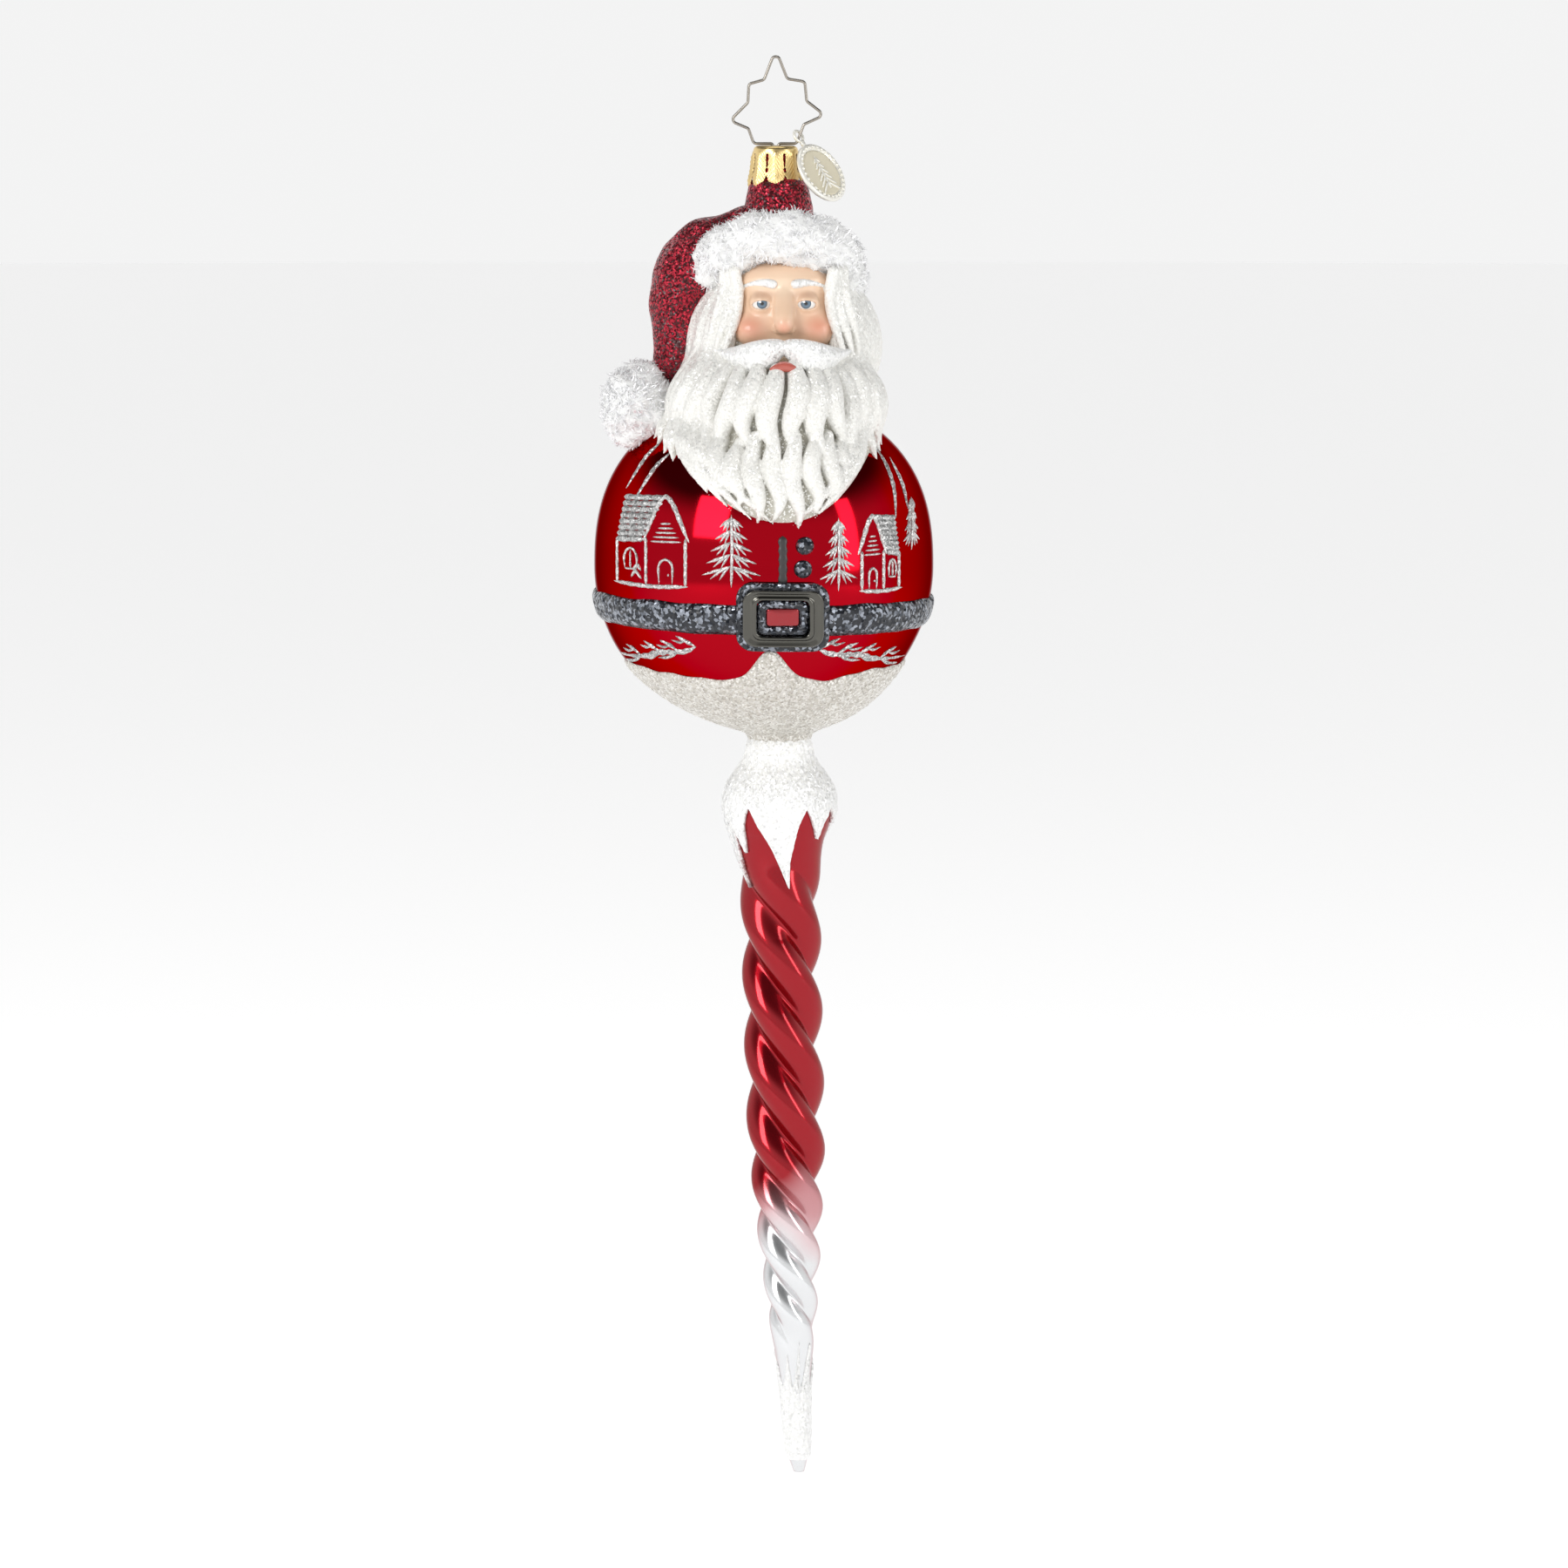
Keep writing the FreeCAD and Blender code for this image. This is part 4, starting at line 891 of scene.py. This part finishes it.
def build_hem():
    """Ivory coat up to a wavy line with a peak in front, below the buckle."""
    turn = full_turn(420)
    x = LOWER_X + 31 * np.sin(turn)
    front = np.where(np.cos(turn) > 0, 1.0, 0.0)
    top = HEM_TOP - 0.9 * np.cos(2 * turn) + HEM_PEAK * front * np.exp(-((x - HEM_PEAK_X) / 4.4) ** 2)
    top = (top - 0.7 * front * np.exp(-((np.abs(x - 0.2) - 14) / 5.0) ** 2)
           + 0.25 * np.sin(9 * turn) + 0.15 * np.sin(23 * turn))
    run = np.linspace(0, 1, 60)[:, None]
    z = top + (LIP_Z - top) * run
    thick = 0.1 + coat_profile(run + 0 * z, 0.55, 0.06)
    outer = body_ring(z, turn[None], 0)
    grain = 0.07 * waves(outer, 1.6, 21) + 0.05 * waves(outer, 0.9, 22)
    way = unit(outer - np.array((LOWER_X, 0, -112.0)))
    shape = Builder().sheet(outer + way * (thick + grain)[..., None], outer - way * 0.2)
    piece("hem", shape, IVORY, ["hem_snow_coat"])


# ---- icicle
# The drop's mean radius at heights from the point to the lip.
ENVELOPE_Z = [-311.5, -309, -303, -294, -288, -283, -276, -268, -262, -248,
              -236, -175, -170, -166, -162.5, -159, -155.5, -152.2, -148]
ENVELOPE_R = [0.9, 2.2, 2.7, 3.1, 3.7, 4.5, 5.5, 6.2, 6.8, 7.9,
              8.7, 8.9, 9.9, 11.3, 12.0, 11.5, 9.5, 6.7, 6.3]
TWIST_TOP, TWIST_FOOT, RIDGE_PITCH, TIP_DRIFT, GROOVE = -168.0, -285.0, 15.9, 4.3, 3.4
PINK_FROM, CLEAR_FROM, COLOUR_FADE = -243.0, -252.0, 12.0


def icicle(z, angle, lift=0.0):
    """Surface of the drop: a round bulb, three twisted strands, a plain point."""
    z, angle = np.broadcast_arrays(np.asarray(z, float), np.asarray(angle, float))
    drift = LOWER_X + TIP_DRIFT * np.clip((-161.5 - z) / 150.0, 0, 1) ** 1.5
    radius = sum(np.interp(z + shift, ENVELOPE_Z, ENVELOPE_R) for shift in (-1.8, -0.9, 0, 0.9, 1.8)) / 5
    run = np.clip((TWIST_TOP - z) / (TWIST_TOP - TWIST_FOOT), 0, 1)
    fade = np.minimum(1, np.minimum(5.0 * run, 11.0 * (1 - run)))
    down = TWIST_TOP - z
    ridge = np.radians(28.0 + 120.0 * (down / RIDGE_PITCH + 0.0026 * np.clip(down - 68.0, 0, 42) ** 1.6))
    strand = np.abs(np.cos(1.5 * (angle - ridge)))
    wave = 1 - np.sqrt(strand ** 2 + 0.01) / math.sqrt(1.01)
    radius = radius - GROOVE * fade * radius / 8.6 * wave + lift
    return round_axis(radius, angle, z, drift)


def build_icicle():
    heights = np.concatenate([np.linspace(-148, -276, 430), np.linspace(-276.4, -311.0, 60), [-311.4]])
    grid = icicle(heights[:, None], full_turn(150)[None])
    z = grid[..., 2].ravel() + 3.0 * waves(grid.reshape(-1, 3), 18.0, 31)
    red, pink, clear = np.array([(0.32, 0.003, 0.010), (0.66, 0.38, 0.40), (0.74, 0.75, 0.76)])
    f, g = (np.clip((start - z) / COLOUR_FADE, 0, 1)[:, None] for start in (PINK_FROM, CLEAR_FROM))
    colours = (red * (1 - f) + pink * f) * (1 - g) + clear * g
    piece("icicle", Builder().rings(grid), ICE, ["icicle_glass_shell"], colours=colours)


# Drips of the snow: compass angle (degrees), half width (degrees), foot height.
DRIPS = [(-2, 30, -184.0), (-54, 20, -176.5), (-72, 8, -184.0), (46, 17, -173.5), (80, 16, -170.5),
         (112, 18, -181.0), (148, 20, -175.0), (190, 24, -184.0), (236, 20, -176.0), (268, 15, -181.0)]
DRIP_SLANT = 1.0                                         # degrees to the side per mm down
SNOW_TOP, SNOW_FOOT = -147.7, -166.2
FROST_TOP, FROST_FOOT, FROST_PEAK = -291.5, -308.6, 10.5


def coated(name, z, angle, thick, sunk, waves_of, node):
    """A snow or frost coat with a grainy face on the drop."""
    base = icicle(z, angle)
    grain = sum(height * waves(base, length, seed) for height, length, seed in waves_of)
    piece(name, Builder().sheet(icicle(z, angle, thick + grain), icicle(z, angle, -sunk)), SNOW, [node])


def build_snow():
    turn = full_turn(420)
    degrees = np.degrees(turn)
    foot = np.full(turn.shape, SNOW_FOOT)
    for angle, half, low in DRIPS:
        away = np.abs((degrees - angle + 180) % 360 - 180) / half
        foot = np.minimum(foot, SNOW_FOOT + (low - SNOW_FOOT) * np.clip(1 - away, 0, 1) ** 1.15)
    foot = foot + 0.25 * np.sin(11 * turn)
    z = SNOW_TOP + (foot + 151.6) * np.linspace(0, 1, 90)[:, None]
    angle = turn[None] + np.radians(DRIP_SLANT * np.clip(-166.0 - z, 0, None))
    thick = 0.15 + (0.75 * np.clip((z - foot) / 2.0, 0, 1) ** 0.6
                    * np.clip((SNOW_TOP - z) / 1.5, 0.2, 1) ** 0.5)
    coated("snow_cap", z, angle, thick, 0.15, ((0.08, 1.5, 41), (0.06, 0.8, 42)), "snow_cap_coat")


def build_frost():
    turn = full_turn(300)
    peaks = np.abs(((np.degrees(turn) / 40.0) + 0.15 * np.sin(3 * turn)) % 1 - 0.5) * 2
    top = FROST_TOP + FROST_PEAK * peaks ** 1.8 * (0.75 + 0.25 * np.sin(2 * turn + 1))
    z = top + (FROST_FOOT - top) * np.linspace(0, 1, 70)[:, None]
    angle = turn[None] + np.radians(0.9) * (z + 300)
    thick = 0.08 + (0.42 * np.clip((top - z) / 1.6, 0, 1) ** 0.6
                    * np.clip((z - FROST_FOOT) / 1.2, 0.1, 1) ** 0.5)
    coated("tip_frost", z, angle, thick, 0.12, ((0.05, 1.1, 51), (0.04, 0.7, 52)), "tip_frost_coat")


# ---- crown cap, wire, tag
CAP_TOP, CAP_FOOT, PETALS = -18.8, -27.9, 8


def build_cap():
    """Pressed sheet cap: flat top, round shoulder, skirt of veined petals with slots between them."""
    turn = full_turn(PETALS * 44)
    knots = [(r, CAP_TOP - down) for r, down in ((1.4, 0), (3.2, 0.02), (4.35, 0.25), (4.85, 1.1),
                                                 (5.05, 3.0), (5.35, 5.6), (5.75, 7.6))]
    profile = curve(knots + [(5.6, CAP_FOOT)], 110)
    r, z, p = np.broadcast_arrays(profile[:, :1], profile[:, 1:],
                                  (turn * PETALS / (2 * math.pi) + 0.5) % 1 - 0.5)   # p: across one petal
    depth = (CAP_TOP - z) / (CAP_TOP - CAP_FOOT)
    vein = np.exp(-(p / 0.035) ** 2) + 0.8 * np.exp(-((((depth * 9 - np.abs(p) * 7) % 1) - 0.5) / 0.2) ** 2)
    skirt = np.clip((depth - 0.12) * 6, 0, 1)
    radius = r + (0.13 * vein * skirt + 0.18 * skirt * np.cos(math.pi * 2 * p))
    edge = 1 - 0.30 * np.clip((np.abs(p) - 0.18) / 0.32, 0, 1) ** 1.2      # pointed petal tips
    gap = 0.5 - np.abs(p)                                          # distance from the petal's side
    slot = (gap < 0.045 + 0.04 * np.exp(-((depth - 0.28) / 0.09) ** 2)) & (depth > 0.2) & (depth < 0.50)
    dot = (gap / 0.085) ** 2 + ((depth - 0.58) / 0.045) ** 2 < 1
    keep = (depth < edge) & ~slot & ~dot
    sides = round_axis(radius, turn, z), round_axis(radius - 0.2, turn, z)
    piece("cap", Builder().sheet(*sides, keep[:-1] & keep[1:]), GOLD, ["crown_cap"], body="cap")


# The tag: where its eyelet sits on the wire, which way it faces and hangs, and how far down its middle is.
CHARM_PIVOT = np.array((4.95, 0.0, -16.9))
CHARM_FACE = unit(np.array((0.67, -0.56, 0.487)))
CHARM_HANG = np.array((0.473, -0.171, -0.860))
CHARM_HANG = unit(CHARM_HANG - CHARM_FACE * (CHARM_HANG @ CHARM_FACE))
CHARM_SIDE = np.cross(CHARM_FACE, CHARM_HANG)
CHARM_REACH = 9.4


def charm_point(down, side, out):
    down, side, out = np.broadcast_arrays(np.asarray(down, float), side, out)
    return (CHARM_PIVOT + down[..., None] * CHARM_HANG + side[..., None] * CHARM_SIDE
            + out[..., None] * CHARM_FACE)


def charm_disc(profile, turn):
    """Rings round the tag's middle, from radius and height."""
    return [charm_point(CHARM_REACH + r * np.cos(turn), r * np.sin(turn), h) for r, h in profile]


def charm_bar(shape, start, end, width, height, out):
    """A raised bar on the tag, narrower at its end."""
    along = unit(np.array(end, float) - start)
    cross = np.array((-along[1], along[0])) * width / 2
    rings = []
    for f, w in ((0, 0.5), (0.15, 1), (0.85, 0.8), (1, 0.25)):
        spot = np.array(start) + (np.array(end) - start) * f
        ring = [(spot + cross * w * c, h) for c, h in ((-1, -0.1), (-0.7, height), (0.7, height), (1, -0.1))]
        rings.append([charm_point(CHARM_REACH + q[0], q[1], out + h) for q, h in ring])
    shape.rings(np.array(rings))


TAG_RIM, BEAD = 6.05, 0.36


def build_charm():
    """A dished tag with a beaded rim, an eyelet and a fir sprig."""
    turn = full_turn(96)
    shape = Builder()
    profile = [(0.01, -0.1), (4.5, -0.1), (6.2, -0.02), (6.75, 0.15), (7.0, 0.5), (6.85, 0.95), (6.4, 1.15),
               (5.9, 1.0), (5.6, 0.8), (5.2, 0.72), (2.5, 0.74), (0.01, 0.75)]
    shape.rings(charm_disc(profile, turn))
    ring, tube = np.meshgrid(full_turn(40), full_turn(14), indexing="ij")
    rr = 1.3 + 0.34 * np.cos(tube)
    shape.rings(charm_point(rr * np.cos(ring), rr * np.sin(ring), 0.34 * np.sin(tube)), loop=True)
    charm_bar(shape, (1.2 - CHARM_REACH, 0), (3.0 - CHARM_REACH, 0), 1.3, 0.5, -0.05)
    polar, around = np.meshgrid(np.linspace(0.1, 3.04, 8), full_turn(12), indexing="ij")
    for a in full_turn(30):
        shape.rings(charm_point(CHARM_REACH + TAG_RIM * math.cos(a) + BEAD * np.sin(polar) * np.cos(around),
                                TAG_RIM * math.sin(a) + BEAD * np.sin(polar) * np.sin(around),
                                1.08 + BEAD * np.cos(polar)))
    charm_bar(shape, (3.9, 0), (-3.9, 0), 0.45, 0.45, 0.72)
    for k in range(6):
        down, reach = -2.9 + 1.15 * k, 0.9 + 0.42 * k
        for side in (-1, 1):
            charm_bar(shape, (down - 0.4, side * 0.1), (down + reach * 0.62, side * reach), 0.5, 0.42, 0.72)
    piece("tag", shape, TAG, ["charm_disc"], body="charm")
    recess = Builder().rings(charm_disc(((5.45, 0.7), (5.4, 0.86), (5.0, 0.84), (0.01, 0.84)), turn))
    piece("tag_field", recess, TAG_RECESS, body="charm")


for build in (build_body, build_hair, build_face, build_moustache, build_hat, build_flock, build_belt,
              build_buckle, build_buttons, build_lines, build_hem, build_icicle, build_snow, build_frost,
              build_cap, build_charm):
    build()
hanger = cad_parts["star_hanger"]
hanger.data.materials.clear()
hanger.data.materials.append(WIRE)


# ---- studio
FLOOR_Z, FLOOR_R, FLOOR_GLOW = -0.335, 9.0, 0.615        # metres; the glow matches the floor to the world
PALE, DIM = 0.90, 0.08                                   # strength of the world at the horizon and overhead
LIGHTS_AIM = (0.0, 0.0, -0.14)
CAMERA_PLACE, CAMERA_AIM, CAMERA_LENS = (0.0018, -1.36, 0.0), (0.0018, 0, -0.158), 143.5


def build_floor():
    """Wide pale floor below the hanging ornament."""
    points = [(FLOOR_R * math.sin(a), FLOOR_R * math.cos(a), FLOOR_Z) for a in full_turn(96)]
    pale = paint("floor", (0.92, 0.92, 0.92), rough=0.9)
    fill(pale.node_tree.nodes["Principled BSDF"],
         {"Emission Color": (1, 1, 1, 1), "Emission Strength": FLOOR_GLOW})
    obj = mesh_object("floor", points, [list(range(len(points)))[::-1]], pale)


def aim(obj, place, target):
    obj.location = place
    obj.rotation_euler = (Vector(target) - Vector(place)).to_track_quat("-Z", "Y").to_euler()


def softbox(name, place, size, power):
    light = bpy.data.lights.new(name, "AREA")
    light.shape = "RECTANGLE"
    light.size, light.size_y = size
    light.energy = power
    aim(scene_object(name, light), place, LIGHTS_AIM)


def build_world():
    """Pale all round the horizon, dimmer overhead."""
    world = bpy.data.worlds.new("studio")
    world.use_nodes = True
    tree = world.node_tree
    background = tree.nodes["Background"]
    way = add_node(tree, "TexCoord")
    split = add_node(tree, "SeparateXYZ")
    fall = add_node(tree, "MapRange", {"From Min": 0.30, "From Max": 0.62, "To Min": PALE, "To Max": DIM},
                    interpolation_type="SMOOTHSTEP")
    join(tree, (way, "Generated", split, "Vector"), (split, "Z", fall, "Value"),
         (fall, "Result", background, "Strength"))
    fill(background, {"Color": (1, 1, 1, 1)})
    bpy.context.scene.world = world


build_floor()
build_world()
softbox("left", (-0.85, -1.1, 0.5), (0.6, 0.7), 9)
softbox("right", (1.1, -0.6, 0.2), (0.25, 0.8), 3)
softbox("top", (0.0, 0.1, 0.9), (0.8, 0.4), 2)
bpy.context.scene.view_settings.view_transform = "Standard"

camera_data = bpy.data.cameras.new("camera")
camera_data.lens = CAMERA_LENS
camera_data.sensor_width = 36.0
camera = scene_object("camera", camera_data)
aim(camera, CAMERA_PLACE, CAMERA_AIM)
bpy.context.scene.camera = camera
